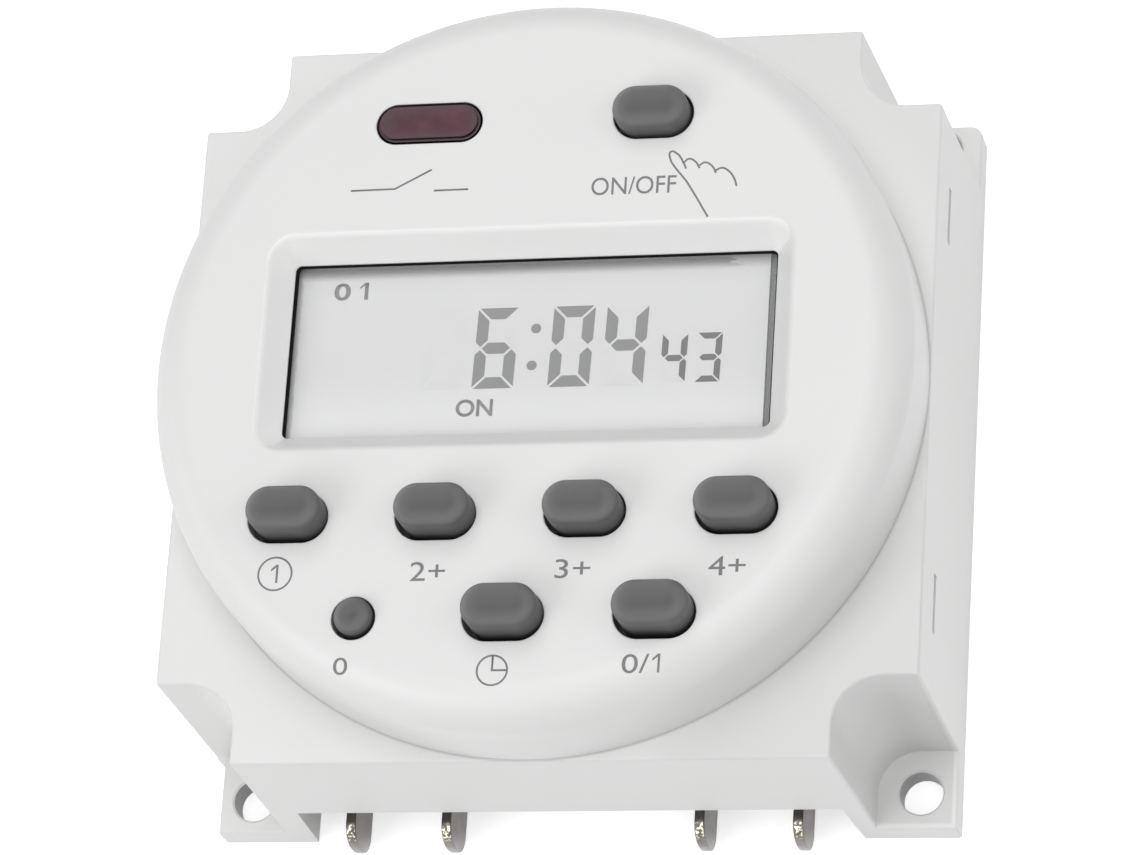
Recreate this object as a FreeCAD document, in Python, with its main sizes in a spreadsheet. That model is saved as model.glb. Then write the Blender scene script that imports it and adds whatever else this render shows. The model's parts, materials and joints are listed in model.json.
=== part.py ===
import FreeCAD, Part
import math
import os

import Sketcher

# Digital timer switch for a panel: a notched square housing with a round dome, display, keys,
# indicator, two circuit boards with a relay, and four tab terminals.
# The timer lies on its back. The origin is on the back face, midway between the mounting holes.
# X runs to the right of the display, Y to its top and Z out of its face. All sizes are millimetres.

drivingSizes = {
    # housing outside
    "body_width": 60.0,
    "body_depth": 19.7,
    "body_draft": 0.8,
    "dome_radius": 29.6,
    "dome_rise": 9.3,
    "dome_round": 3.3,
    "notch_leg": 6.75,
    "notch_draft": 1.6,
    "notch_round": 3.8,
    "ear_thick": 2.4,
    "ear_hole_pitch": 54.2,
    "ear_hole_dia": 3.4,
    "ear_setback": 1.0,
    "ear_round": 1.2,
    "ear_chamfer": 0.95,
    # housing inside
    "side_wall": 1.7,
    "notch_wall": 1.5,
    "front_wall": 1.8,
    "dome_wall": 1.9,
    "roof_wall": 2.0,
    "edge_soften": 0.2,
    "body_soften": 0.3,
    # display opening in the dome
    "bezel_width": 41.3,
    "bezel_height": 17.8,
    "bezel_rise": 1.13,
    "bezel_round": 2.2,
    "bevel_inset": 1.8,
    "bevel_depth": 2.3,
    "lip_depth": 0.15,
    "bezel_rim": 1.3,
    # display stack under the lip, from the front
    "gasket_thick": 0.3,
    "gasket_border": 1.1,
    "window_thick": 0.5,
    "window_border": 1.2,
    "film_thick": 0.2,
    "film_border": 0.6,
    "film_strip": 0.65,
    "glass_thick": 1.0,
    "glass_border": 1.6,
    "rear_glass_margin": 0.4,
    "glass_ledge": 1.7,
    "reflector_thick": 0.2,
    "reflector_trim": 0.4,
    "display_air": 1.35,
    "connector_width": 1.4,
    "connector_trim": 1.5,
    "frame_wall": 1.0,
    "frame_gap": 0.15,
    # keys
    "key_hole_width": 6.38,
    "key_hole_height": 4.08,
    "round_key_hole": 3.48,
    "key_gap": 0.27,
    "key_pitch": 11.5,
    "key_row_drop": 13.27,
    "key_low_drop": 21.32,
    "round_key_drop": 21.35,
    "manual_key_side": 9.15,
    "manual_key_rise": 18.95,
    "key_proud": 2.6,
    "manual_key_proud": 1.95,
    "round_key_proud": 0.95,
    "key_crown": 0.6,
    "key_flange_lip": 0.6,
    "key_flange_thick": 0.8,
    "key_travel": 0.9,
    "key_stem_dia": 2.8,
    "pill_dia": 2.4,
    "pill_thick": 0.5,
    "pill_clear": 0.1,
    # silicone sheet under the keys
    "mat_thick": 1.0,
    "mat_edge_gap": 1.0,
    "mat_hole_gap": 0.3,
    "mat_ring_outer": 5.0,
    "mat_ring_clear": 0.15,
    # indicator
    "lens_hole_width": 8.55,
    "lens_hole_height": 3.45,
    "lens_side": 8.56,
    "lens_rise": 18.94,
    "lens_gap": 0.22,
    "lens_proud": 0.31,
    "lens_step": 0.17,
    "lens_step_rise": 0.36,
    "lens_flange_lip": 0.7,
    "lens_flange_thick": 0.8,
    "lens_crown": 0.08,
    "led_dia": 3.0,
    "led_rim": 0.4,
    "led_rim_thick": 0.8,
    "led_height": 3.6,
    "led_nose": 1.2,
    # logic board
    "logic_board_thick": 1.0,
    "logic_board_gap": 0.5,
    "logic_boss_dia": 3.4,
    "logic_boss_side": 19.0,
    "logic_boss_rise": 16.0,
    "logic_boss_low_side": 17.8,
    "logic_boss_drop": 18.4,
    "logic_screw_dia": 1.7,
    "logic_screw_head": 3.2,
    "logic_screw_head_thick": 1.2,
    "logic_screw_grip": 3.4,
    "screw_gap": 0.05,
    "chip_width": 12.0,
    "chip_thick": 1.4,
    "chip_rise": 3.0,
    "crystal_dia": 2.0,
    "crystal_length": 6.2,
    "cell_dia": 11.6,
    "cell_thick": 4.2,
    "cell_side": 14.0,
    "cell_drop": 4.0,
    "clip_thick": 0.3,
    "clip_width": 4.0,
    # back cover and its latches
    "cover_thick": 1.6,
    "cover_gap": 0.15,
    "terminal_wall_thick": 1.4,
    "terminal_wall_reach": 0.75,
    "recess_depth": 6.0,
    "recess_height": 6.8,
    "recess_roof": 1.2,
    "latch_rise": 14.9,
    "latch_place": 15.9,
    "latch_slot_length": 4.3,
    "latch_slot_height": 0.7,
    "latch_gap": 0.1,
    "latch_arm_thick": 1.2,
    "latch_hook": 1.0,
    "post_dia": 4.4,
    "post_height": 3.6,
    "post_side": 21.6,
    "post_rise": 15.5,
    "post_drop": 17.0,
    # power board
    "power_board_width": 50.0,
    "power_board_height": 40.0,
    "power_board_shift": -1.0,
    "power_board_thick": 1.6,
    "power_screw_dia": 2.2,
    "power_screw_head": 4.0,
    "power_screw_head_thick": 1.4,
    "power_screw_grip": 4.0,
    # terminals
    "terminal_pitch_in": 20.2,
    "terminal_pitch_out": 35.7,
    "terminal_thick": 0.8,
    "terminal_width": 4.8,
    "terminal_lift": 0.2,
    "terminal_proud": 1.6,
    "terminal_tip": 1.6,
    "terminal_taper": 1.1,
    "terminal_neck": 3.0,
    "terminal_neck_lift": 0.2,
    "terminal_reach": 5.0,
    "terminal_tail": 1.2,
    "lead_proud": 0.8,
    "lead_gap": 0.1,
    # relay on the power board
    "relay_length": 19.0,
    "relay_width": 15.2,
    "relay_height": 11.6,
    "relay_side": -11.0,
    "relay_rise": 4.0,
    "relay_wall": 0.8,
    "relay_base_thick": 1.6,
    "relay_fit": 0.1,
    "relay_coil_dia": 7.0,
    "relay_coil_length": 5.6,
    "relay_core_dia": 2.6,
    "relay_yoke_thick": 1.2,
    "relay_armature_thick": 0.9,
    "relay_armature_gap": 0.6,
    "relay_hinge_gap": 0.05,
    "relay_pin_dia": 1.0,
    "relay_pin_side": 6.6,
    "relay_pin_rise": 5.3,
    # small power parts
    "film_cap_length": 18.0,
    "film_cap_width": 8.0,
    "film_cap_height": 11.0,
    "film_cap_drop": 10.0,
    "film_cap_pitch": 15.0,
    "storage_cap_dia": 8.0,
    "storage_cap_height": 10.5,
    "storage_cap_pitch": 3.5,
    "storage_cap_side": 5.5,
    "storage_cap_rise": 12.0,
    "varistor_dia": 8.0,
    "varistor_thick": 3.2,
    "varistor_pitch": 2.4,
    "varistor_side": 3.5,
    "varistor_drop": 11.0,
    "diode_dia": 2.4,
    "diode_length": 4.6,
    "resistor_dia": 2.2,
    "resistor_length": 6.2,
    "transistor_width": 4.6,
    "transistor_thick": 3.6,
    "transistor_height": 4.6,
    "transistor_pitch": 1.27,
    "transistor_rise": 4.5,
    "axial_side": 16.5,
    "axial_rise": 10.5,
    "axial_step": 3.2,
    "lead_dia": 0.7,
    "lead_foot_dia": 0.8,
    "axial_shoulder": 1.4,
    "link_pin_pitch": 2.0,
    "link_pin_width": 0.6,
    "link_header_width": 2.2,
    "link_header_height": 2.5,
    "link_side": 8.0,
    "link_rise": 16.5,
}

doc = FreeCAD.newDocument("digital_timer_switch")
sheet = doc.addObject("Spreadsheet::Sheet", "sizes")
for row, (alias, value) in enumerate(drivingSizes.items(), start=1):
    sheet.set("A%d" % row, alias)
    sheet.set("B%d" % row, str(value))
    sheet.setAlias("B%d" % row, alias)
doc.recompute()


class Dim:
    """A length worked out from cells of the sheet: its number, and the formula that binds it."""

    def __init__(self, value, text):
        self.value = value
        self.text = text

    def __add__(self, other):
        other = asDim(other)
        return Dim(self.value + other.value, "(%s + %s)" % (self.text, other.text))

    def __sub__(self, other):
        other = asDim(other)
        return Dim(self.value - other.value, "(%s - %s)" % (self.text, other.text))

    def __mul__(self, other):
        other = asDim(other)
        return Dim(self.value * other.value, "(%s * %s)" % (self.text, other.text))

    def __truediv__(self, other):
        other = asDim(other)
        return Dim(self.value / other.value, "(%s / %s)" % (self.text, other.text))

    def __neg__(self):
        return Dim(-self.value, "(-1 * %s)" % self.text)

    __radd__ = __add__


def asDim(amount):
    return amount if isinstance(amount, Dim) else Dim(float(amount), repr(float(amount)))


def size(alias):
    return Dim(float(sheet.get(alias)), "sizes." + alias)


def slope(run, rise):
    angle = math.degrees(math.atan2(run.value, rise.value))
    return Dim(angle, "atan(%s / %s)" % (run.text, rise.text))


def bind(thing, prop, amount):
    thing.setExpression(prop, asDim(amount).text)


# Part primitives and booleans, each bound to the sheet.
def place(thing, x, y, z):
    for axis, amount in zip("xyz", (x, y, z)):
        bind(thing, "Placement.Base." + axis, amount)


def block(name, middleX, middleY, bottom, width, depth, height):
    thing = doc.addObject("Part::Box", name)
    bind(thing, "Length", width)
    bind(thing, "Width", depth)
    bind(thing, "Height", height)
    place(thing, asDim(middleX) - asDim(width) / 2, asDim(middleY) - asDim(depth) / 2, bottom)
    return thing


def rod(name, middleX, middleY, bottom, diameter, height, along="Z"):
    thing = doc.addObject("Part::Cylinder", name)
    bind(thing, "Radius", asDim(diameter) / 2)
    bind(thing, "Height", height)
    turn = {"Z": (0, 0, 0), "X": (0, 90, 0), "Y": (0, 0, -90)}[along]
    thing.Placement.Rotation = FreeCAD.Rotation(*turn)
    place(thing, middleX, middleY, bottom)
    return thing


def fuse(name, pieces):
    thing = doc.addObject("Part::MultiFuse", name)
    thing.Shapes = pieces
    return thing


def gather(name, pieces):
    thing = doc.addObject("Part::Compound", name)
    thing.Links = pieces
    return thing


def cut(name, base, tools):
    thing = doc.addObject("Part::Cut", name)
    thing.Base = base
    thing.Tool = tools[0] if len(tools) == 1 else gather(name + "_tools", tools)
    return thing


# Bodies, sketches and features.
def newBody(name):
    return doc.addObject("PartDesign::Body", name)


def newSketch(body, name, x=0, y=0, z=0, plane="XY_Plane"):
    sketch = body.newObject("Sketcher::SketchObject", name)
    origin = [item for item in body.Origin.OriginFeatures if item.Role == plane]
    sketch.AttachmentSupport = [(origin[0], "")]
    sketch.MapMode = "FlatFace"
    for axis, amount in zip("xyz", (x, y, z)):
        bind(sketch, "AttachmentOffset.Base." + axis, amount)
    return sketch


def bindConstraint(sketch, index, amount):
    sketch.setExpression("Constraints[%d]" % index, asDim(amount).text)


def drawCircle(sketch, diameter):
    radius = asDim(diameter) / 2
    circle = Part.Circle(FreeCAD.Vector(0, 0, 0), FreeCAD.Vector(0, 0, 1), radius.value)
    sketch.addGeometry(circle, False)
    sketch.addConstraint(Sketcher.Constraint("Coincident", 0, 3, -1, 1))
    index = sketch.addConstraint(Sketcher.Constraint("Radius", 0, radius.value))
    bindConstraint(sketch, index, radius)
    return sketch


def drawStadium(sketch, width, height):
    radius = asDim(height) / 2
    reach = asDim(width) - height
    half = reach.value / 2
    up = FreeCAD.Vector(0, 0, 1)
    left = Part.Circle(FreeCAD.Vector(-half, 0, 0), up, radius.value)
    right = Part.Circle(FreeCAD.Vector(half, 0, 0), up, radius.value)
    sketch.addGeometry([
        Part.ArcOfCircle(left, math.pi / 2, 3 * math.pi / 2),
        Part.ArcOfCircle(right, -math.pi / 2, math.pi / 2),
        Part.LineSegment(FreeCAD.Vector(-half, -radius.value, 0), FreeCAD.Vector(half, -radius.value, 0)),
        Part.LineSegment(FreeCAD.Vector(half, radius.value, 0), FreeCAD.Vector(-half, radius.value, 0)),
    ], False)
    joins = [(0, 2, 2, 1), (2, 2, 1, 1), (1, 2, 3, 1), (3, 2, 0, 1)]
    sketch.addConstraint([Sketcher.Constraint("Tangent", *join) for join in joins])
    sketch.addConstraint(Sketcher.Constraint("Horizontal", 2))
    sketch.addConstraint(Sketcher.Constraint("Horizontal", 3))
    sketch.addConstraint(Sketcher.Constraint("Symmetric", 0, 3, 1, 3, -1, 1))
    bindConstraint(sketch, sketch.addConstraint(Sketcher.Constraint("Radius", 0, radius.value)), radius)
    index = sketch.addConstraint(Sketcher.Constraint("DistanceX", 0, 3, 1, 3, reach.value))
    bindConstraint(sketch, index, reach)
    return sketch


def drawRectangle(sketch, width, height):
    halfWide = asDim(width).value / 2
    halfHigh = asDim(height).value / 2
    corners = [FreeCAD.Vector(x * halfWide, y * halfHigh, 0) for x, y in ((-1, -1), (1, -1), (1, 1), (-1, 1))]
    lines = [Part.LineSegment(corners[i], corners[(i + 1) % 4]) for i in range(4)]
    sketch.addGeometry(lines, False)
    for i in range(4):
        sketch.addConstraint(Sketcher.Constraint("Coincident", i, 2, (i + 1) % 4, 1))
        sketch.addConstraint(Sketcher.Constraint("Horizontal" if i % 2 == 0 else "Vertical", i))
    sketch.addConstraint(Sketcher.Constraint("Symmetric", 0, 1, 2, 1, -1, 1))
    index = sketch.addConstraint(Sketcher.Constraint("DistanceX", 0, 1, 0, 2, 2 * halfWide))
    bindConstraint(sketch, index, width)
    index = sketch.addConstraint(Sketcher.Constraint("DistanceY", 1, 1, 1, 2, 2 * halfHigh))
    bindConstraint(sketch, index, height)
    return sketch


def drawRoundedRectangle(sketch, width, height, radius):
    width, height, radius = asDim(width), asDim(height), asDim(radius)
    farX, farY = width.value / 2, height.value / 2
    nearX, nearY = farX - radius.value, farY - radius.value
    up = FreeCAD.Vector(0, 0, 1)
    centres = [(nearX, -nearY, -90), (nearX, nearY, 0), (-nearX, nearY, 90), (-nearX, -nearY, 180)]
    ends = [((-nearX, -farY), (nearX, -farY)), ((farX, -nearY), (farX, nearY)),
            ((nearX, farY), (-nearX, farY)), ((-farX, nearY), (-farX, -nearY))]
    for (startX, startY), (endX, endY) in ends:
        sketch.addGeometry(Part.LineSegment(FreeCAD.Vector(startX, startY, 0),
                                            FreeCAD.Vector(endX, endY, 0)), False)
    for x, y, start in centres:
        circle = Part.Circle(FreeCAD.Vector(x, y, 0), up, radius.value)
        sketch.addGeometry(Part.ArcOfCircle(circle, math.radians(start), math.radians(start + 90)), False)
    for i in range(4):
        sketch.addConstraint(Sketcher.Constraint("Tangent", i, 2, i + 4, 1))
        sketch.addConstraint(Sketcher.Constraint("Tangent", i + 4, 2, (i + 1) % 4, 1))
        sketch.addConstraint(Sketcher.Constraint("Horizontal" if i % 2 == 0 else "Vertical", i))
    for i in (5, 6, 7):
        sketch.addConstraint(Sketcher.Constraint("Equal", 4, i))
    sketch.addConstraint(Sketcher.Constraint("Symmetric", 4, 3, 6, 3, -1, 1))
    bindConstraint(sketch, sketch.addConstraint(Sketcher.Constraint("Radius", 4, radius.value)), radius)
    index = sketch.addConstraint(Sketcher.Constraint("DistanceX", 6, 3, 4, 3, 2 * nearX))
    bindConstraint(sketch, index, width - radius * 2)
    index = sketch.addConstraint(Sketcher.Constraint("DistanceY", 4, 3, 6, 3, 2 * nearY))
    bindConstraint(sketch, index, height - radius * 2)
    return sketch


def drawOutline(sketch, points):
    places = [(asDim(x), asDim(y)) for x, y in points]
    count = len(places)
    for i in range(count):
        start, end = places[i], places[(i + 1) % count]
        sketch.addGeometry(Part.LineSegment(FreeCAD.Vector(start[0].value, start[1].value, 0),
                                            FreeCAD.Vector(end[0].value, end[1].value, 0)), False)
    for i in range(count):
        sketch.addConstraint(Sketcher.Constraint("Coincident", i, 2, (i + 1) % count, 1))
    for i, (x, y) in enumerate(places):
        for kind, amount in (("DistanceX", x), ("DistanceY", y)):
            index = sketch.addConstraint(Sketcher.Constraint(kind, i, 1, amount.value))
            bindConstraint(sketch, index, amount)
    return sketch


def addFeature(body, kind, name, sketch, length, taper, towardsMinus):
    feature = body.newObject(kind, name)
    feature.Profile = sketch
    bind(feature, "Length", length)
    if taper is not None:
        bind(feature, "TaperAngle", -taper)
    feature.Reversed = towardsMinus
    body.Tip = feature
    return feature


def pad(body, name, sketch, length, taper=None):
    return addFeature(body, "PartDesign::Pad", name, sketch, length, taper, False)


def pocketDown(body, name, sketch, length, taper=None):
    return addFeature(body, "PartDesign::Pocket", name, sketch, length, taper, False)


def pocketUp(body, name, sketch, length, taper=None):
    return addFeature(body, "PartDesign::Pocket", name, sketch, length, taper, True)


def quarterTurns(body, name, feature):
    pattern = body.newObject("PartDesign::PolarPattern", name)
    pattern.Originals = [feature]
    axis = [item for item in body.Origin.OriginFeatures if item.Role == "Z_Axis"]
    pattern.Axis = (axis[0], [""])
    pattern.Angle = 360
    pattern.Occurrences = 4
    body.Tip = pattern
    return pattern


def edgesWhere(feature, test):
    return ["Edge%d" % (i + 1) for i, edge in enumerate(feature.Shape.Edges) if test(edge)]


def roundEdges(body, name, radius, test, kind="PartDesign::Fillet"):
    doc.recompute()
    base = body.Tip
    found = edgesWhere(base, test)
    feature = body.newObject(kind, name)
    feature.Base = (base, found)
    bind(feature, "Radius" if kind.endswith("Fillet") else "Size", radius)
    body.Tip = feature
    return feature


def flatAt(edge, height):
    box = edge.BoundBox
    return abs(box.ZMin - height.value) < 1e-3 and abs(box.ZMax - height.value) < 1e-3


def uprightAt(edge, x, y):
    box = edge.BoundBox
    near = abs(box.Center.x - x.value) < 0.1 and abs(box.Center.y - y.value) < 0.1
    return near and box.ZLength > 1.0 and box.XLength < 0.1 and box.YLength < 0.1


# Places that several pieces share, all worked out from the sheet.
overlap = asDim(0.5)
pastSide = asDim(1)
halfBody = size("body_width") / 2
bodyFront = size("body_depth")
faceTop = bodyFront + size("dome_rise")
roofUnder = faceTop - size("roof_wall")
cavityFront = bodyFront - size("front_wall")
cavityHalf = halfBody - size("side_wall")
cavityRadius = size("dome_radius") - size("dome_wall")
notchCorner = halfBody - size("notch_leg")
pocketCorner = notchCorner - size("notch_wall")

openingWidth = size("bezel_width") - size("bevel_inset") * 2
openingHeight = size("bezel_height") - size("bevel_inset") * 2
displayY = size("bezel_rise")
lipUnder = faceTop - size("bevel_depth") - size("lip_depth")
windowTop = lipUnder - size("gasket_thick")
filmTop = windowTop - size("window_thick")
frontGlassTop = filmTop - size("film_thick")
rearGlassTop = frontGlassTop - size("glass_thick")
reflectorTop = rearGlassTop - size("glass_thick")
logicTop = reflectorTop - size("reflector_thick") - size("display_air")
logicUnder = logicTop - size("logic_board_thick")
glassWidth = openingWidth + size("glass_border") * 2
rearGlassHeight = openingHeight + size("rear_glass_margin") * 2
frontGlassHeight = rearGlassHeight + size("glass_ledge") * 2

powerUnder = size("cover_thick") + size("post_height")
powerTop = powerUnder + size("power_board_thick")
recessWallFront = -(halfBody - size("recess_depth"))
recessWallBack = recessWallFront + size("terminal_wall_thick")

keyHoles = {
    "program_key": (-size("key_pitch") * 1.5, -size("key_row_drop")),
    "plus_key_1": (-size("key_pitch") * 0.5, -size("key_row_drop")),
    "plus_key_2": (size("key_pitch") * 0.5, -size("key_row_drop")),
    "plus_key_3": (size("key_pitch") * 1.5, -size("key_row_drop")),
    "clear_key": (-size("key_pitch"), -size("round_key_drop")),
    "clock_key": (asDim(0), -size("key_low_drop")),
    "select_key": (size("key_pitch"), -size("key_low_drop")),
    "manual_key": (size("manual_key_side"), size("manual_key_rise")),
}
roundKey = "clear_key"
keyProud = {"manual_key": "manual_key_proud", roundKey: "round_key_proud"}
lensPlace = (-size("lens_side"), size("lens_rise"))
logicBosses = [
    (size("logic_boss_side"), size("logic_boss_rise")),
    (-size("logic_boss_side"), size("logic_boss_rise")),
    (size("logic_boss_low_side"), -size("logic_boss_drop")),
    (-size("logic_boss_low_side"), -size("logic_boss_drop")),
]
powerPosts = [
    (size("post_side"), size("post_rise")),
    (-size("post_side"), size("post_rise")),
    (size("post_side"), -size("post_drop")),
    (-size("post_side"), -size("post_drop")),
]
latchPlaces = [(side, along) for side in (-1, 1) for along in (-1, 1)]

terminalPlaces = [-size("terminal_pitch_out") / 2, -size("terminal_pitch_in") / 2,
                  size("terminal_pitch_in") / 2, size("terminal_pitch_out") / 2]
neckBottom = size("cover_thick") + size("terminal_neck_lift")
pillTop = logicTop + size("key_travel") + size("pill_clear") + size("pill_thick")
frameWidth = glassWidth + (size("frame_gap") + size("frame_wall")) * 2
frameHeight = frontGlassHeight + (size("frame_gap") + size("frame_wall")) * 2

relayX, relayY = size("relay_side"), size("relay_rise")
yokeBottom = powerTop + size("relay_base_thick")
armatureBottom = (yokeBottom + size("relay_yoke_thick") + size("relay_coil_length") + size("relay_fit")
                  + size("relay_armature_gap"))
yokeTop = armatureBottom - size("relay_hinge_gap")
hingeX = relayX + size("relay_coil_dia") / 2 + size("relay_fit") * 3
relayPinX, relayPinY = size("relay_pin_side"), size("relay_pin_rise")
relayPins = [
    (relayX - relayPinX, relayY),
    (relayX - relayPinX / 2, relayY + relayPinY),
    (relayX - relayPinX / 2, relayY - relayPinY),
    (relayX + relayPinX, relayY + relayPinY),
    (relayX + relayPinX, relayY - relayPinY),
]

linkX, linkY = -size("link_side"), size("link_rise")
linkCount = 6
linkPlaces = [(linkX + size("link_pin_pitch") * (number - (linkCount - 1) / 2), linkY)
              for number in range(linkCount)]
slack = size("lead_gap")
linkHole = size("link_pin_width") * round(math.sqrt(2), 3) + slack * 2

filmCapX, filmCapY = relayX, -size("film_cap_drop")
storageX, storageY = size("storage_cap_side"), size("storage_cap_rise")
varistorX, varistorY = size("varistor_side"), -size("varistor_drop")
transistorX, transistorY = size("storage_cap_side"), size("transistor_rise")
axialX, axialY = size("axial_side"), size("axial_rise")
axialStep = size("axial_step")
leadPlaces = [
    (filmCapX - size("film_cap_pitch") / 2, filmCapY),
    (filmCapX + size("film_cap_pitch") / 2, filmCapY),
    (storageX - size("storage_cap_pitch") / 2, storageY),
    (storageX + size("storage_cap_pitch") / 2, storageY),
    (varistorX, varistorY - size("varistor_pitch") / 2),
    (varistorX, varistorY + size("varistor_pitch") / 2),
    (transistorX - size("transistor_pitch"), transistorY),
    (transistorX, transistorY),
    (transistorX + size("transistor_pitch"), transistorY),
]

parts = {}


def keep(node, thing):
    thing.Label = node
    parts[node] = thing
    return thing


def keyOutline(node, sketch, growth):
    if node == roundKey:
        return drawCircle(sketch, size("round_key_hole") + growth * 2)
    return drawStadium(sketch, size("key_hole_width") + growth * 2, size("key_hole_height") + growth * 2)


def cornerBlock(body, name, corner, outer, radius, bottom):
    """A square reaching from corner to outer in +X +Y, with its inner corner rounded."""
    half = (outer - corner) / 2
    middle = corner + half
    sketch = newSketch(body, name, middle, middle, bottom)
    low, high, bend = -half.value, half.value, radius.value - half.value
    circle = Part.Circle(FreeCAD.Vector(bend, bend, 0), FreeCAD.Vector(0, 0, 1), radius.value)
    corners = [(bend, low), (high, low), (high, high), (low, high), (low, bend)]
    for (startX, startY), (endX, endY) in zip(corners, corners[1:]):
        sketch.addGeometry(Part.LineSegment(FreeCAD.Vector(startX, startY, 0),
                                            FreeCAD.Vector(endX, endY, 0)), False)
    sketch.addGeometry(Part.ArcOfCircle(circle, math.pi, 3 * math.pi / 2), False)
    for i in range(3):
        sketch.addConstraint(Sketcher.Constraint("Coincident", i, 2, i + 1, 1))
    sketch.addConstraint(Sketcher.Constraint("Tangent", 3, 2, 4, 1))
    sketch.addConstraint(Sketcher.Constraint("Tangent", 4, 2, 0, 1))
    for i in range(4):
        sketch.addConstraint(Sketcher.Constraint("Horizontal" if i % 2 == 0 else "Vertical", i))
    bindConstraint(sketch, sketch.addConstraint(Sketcher.Constraint("Radius", 4, radius.value)), radius)
    for kind in ("DistanceX", "DistanceY"):
        index = sketch.addConstraint(Sketcher.Constraint(kind, 1, 2, high))
        bindConstraint(sketch, index, half)
    bindConstraint(sketch, sketch.addConstraint(Sketcher.Constraint("DistanceX", 3, 1, low)), -half)
    bindConstraint(sketch, sketch.addConstraint(Sketcher.Constraint("DistanceY", 0, 1, low)), -half)
    return sketch


def isNotchEdge(edge):
    """Picks the front edges of the notches; the upright ones beside them follow by tangency."""
    box = edge.BoundBox
    innermost = min(abs(box.Center.x), abs(box.Center.y))
    outermost = max(abs(box.Center.x), abs(box.Center.y))
    return flatAt(edge, bodyFront) and innermost > pocketCorner.value and outermost < halfBody.value


def makeHousing():
    body = newBody("housing_body")
    pad(body, "square_body", drawRectangle(newSketch(body, "square_outline"), size("body_width"),
                                           size("body_width")), bodyFront, size("body_draft"))
    roundEdges(body, "body_edges", size("body_soften"), lambda edge: flatAt(edge, bodyFront))
    domeFoot = bodyFront - overlap
    pad(body, "dome", drawCircle(newSketch(body, "dome_outline", z=domeFoot), size("dome_radius") * 2),
        faceTop - domeFoot)
    roundEdges(body, "dome_edge", size("dome_round"), lambda edge: flatAt(edge, faceTop))
    pocketUp(body, "square_cavity", drawRectangle(newSketch(body, "cavity_outline"), cavityHalf * 2,
                                                  cavityHalf * 2), cavityFront)
    domeCavity = newSketch(body, "dome_cavity_outline", z=cavityFront - overlap)
    pocketUp(body, "dome_cavity", drawCircle(domeCavity, cavityRadius * 2),
             roofUnder - cavityFront + overlap)
    cornerOutline = cornerBlock(body, "corner_outline", pocketCorner, halfBody - size("side_wall") / 2,
                                size("notch_round") + size("notch_wall"), asDim(0))
    quarterTurns(body, "corners", pad(body, "corner", cornerOutline, cavityFront + overlap))
    addRecessRoof(body)
    notchOutline = cornerBlock(body, "notch_outline", notchCorner, halfBody + pastSide, size("notch_round"),
                               bodyFront)
    quarterTurns(body, "notches", pocketDown(body, "notch", notchOutline, bodyFront - size("ear_thick"),
                                             size("notch_draft")))
    roundEdges(body, "notch_edges", size("edge_soften"), isNotchEdge)
    earHole = newSketch(body, "ear_hole_outline", size("ear_hole_pitch") / 2, size("ear_hole_pitch") / 2)
    quarterTurns(body, "ear_holes", pocketUp(body, "ear_hole", drawCircle(earHole, size("ear_hole_dia")),
                                             size("ear_thick") + overlap))
    trimEars(body)
    addRoofDetails(body)
    cutRoofOpenings(body)
    cutTerminalRecess(body)
    cutLatchSlots(body)
    return keep("housing", body)


def addRecessRoof(body):
    """The ceiling of the terminal recess; the notches trim its ends."""
    front = -(cavityHalf + overlap)
    back = recessWallBack + size("cover_gap")
    sketch = newSketch(body, "recess_roof_outline", 0, (front + back) / 2, size("recess_height"))
    drawRectangle(sketch, (notchCorner + size("notch_wall")) * 2, back - front)
    pad(body, "recess_roof", sketch, size("recess_roof"))


def trimEars(body):
    """The upper two ears stop short of the body's top side, and the free corners are eased."""
    earTop = halfBody - size("ear_setback")
    for side, name in ((1, "right"), (-1, "left")):
        sketch = newSketch(body, "ear_trim_outline_" + name, (notchCorner + halfBody + pastSide) * side / 2,
                           (earTop + halfBody + pastSide) / 2)
        drawRectangle(sketch, halfBody + pastSide - notchCorner, halfBody + pastSide - earTop)
        pocketUp(body, "ear_trim_" + name, sketch, size("ear_thick") + overlap)
    roundEdges(body, "ear_rounds", size("ear_round"),
               lambda edge: uprightAt(edge, halfBody, earTop) or uprightAt(edge, -halfBody, earTop))
    roundEdges(body, "ear_chamfer", size("ear_chamfer"),
               lambda edge: uprightAt(edge, -halfBody, -halfBody), "PartDesign::Chamfer")


def addRoofDetails(body):
    rim = newSketch(body, "bezel_rim_outline", 0, displayY, lipUnder)
    drawRoundedRectangle(rim, size("bezel_width") + size("bezel_rim") * 2,
                         size("bezel_height") + size("bezel_rim") * 2, size("bezel_round"))
    pad(body, "bezel_rim", rim, roofUnder - lipUnder + overlap)
    for number, (x, y) in enumerate(logicBosses, start=1):
        boss = newSketch(body, "logic_boss_outline_%d" % number, x, y, logicTop)
        pad(body, "logic_boss_%d" % number, drawCircle(boss, size("logic_boss_dia")),
            roofUnder - logicTop + overlap)
        bore = newSketch(body, "logic_bore_outline_%d" % number, x, y, logicTop)
        pocketUp(body, "logic_bore_%d" % number,
                 drawCircle(bore, size("logic_screw_dia") + size("screw_gap") * 2),
                 size("logic_screw_grip") + size("screw_gap") * 2)


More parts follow.
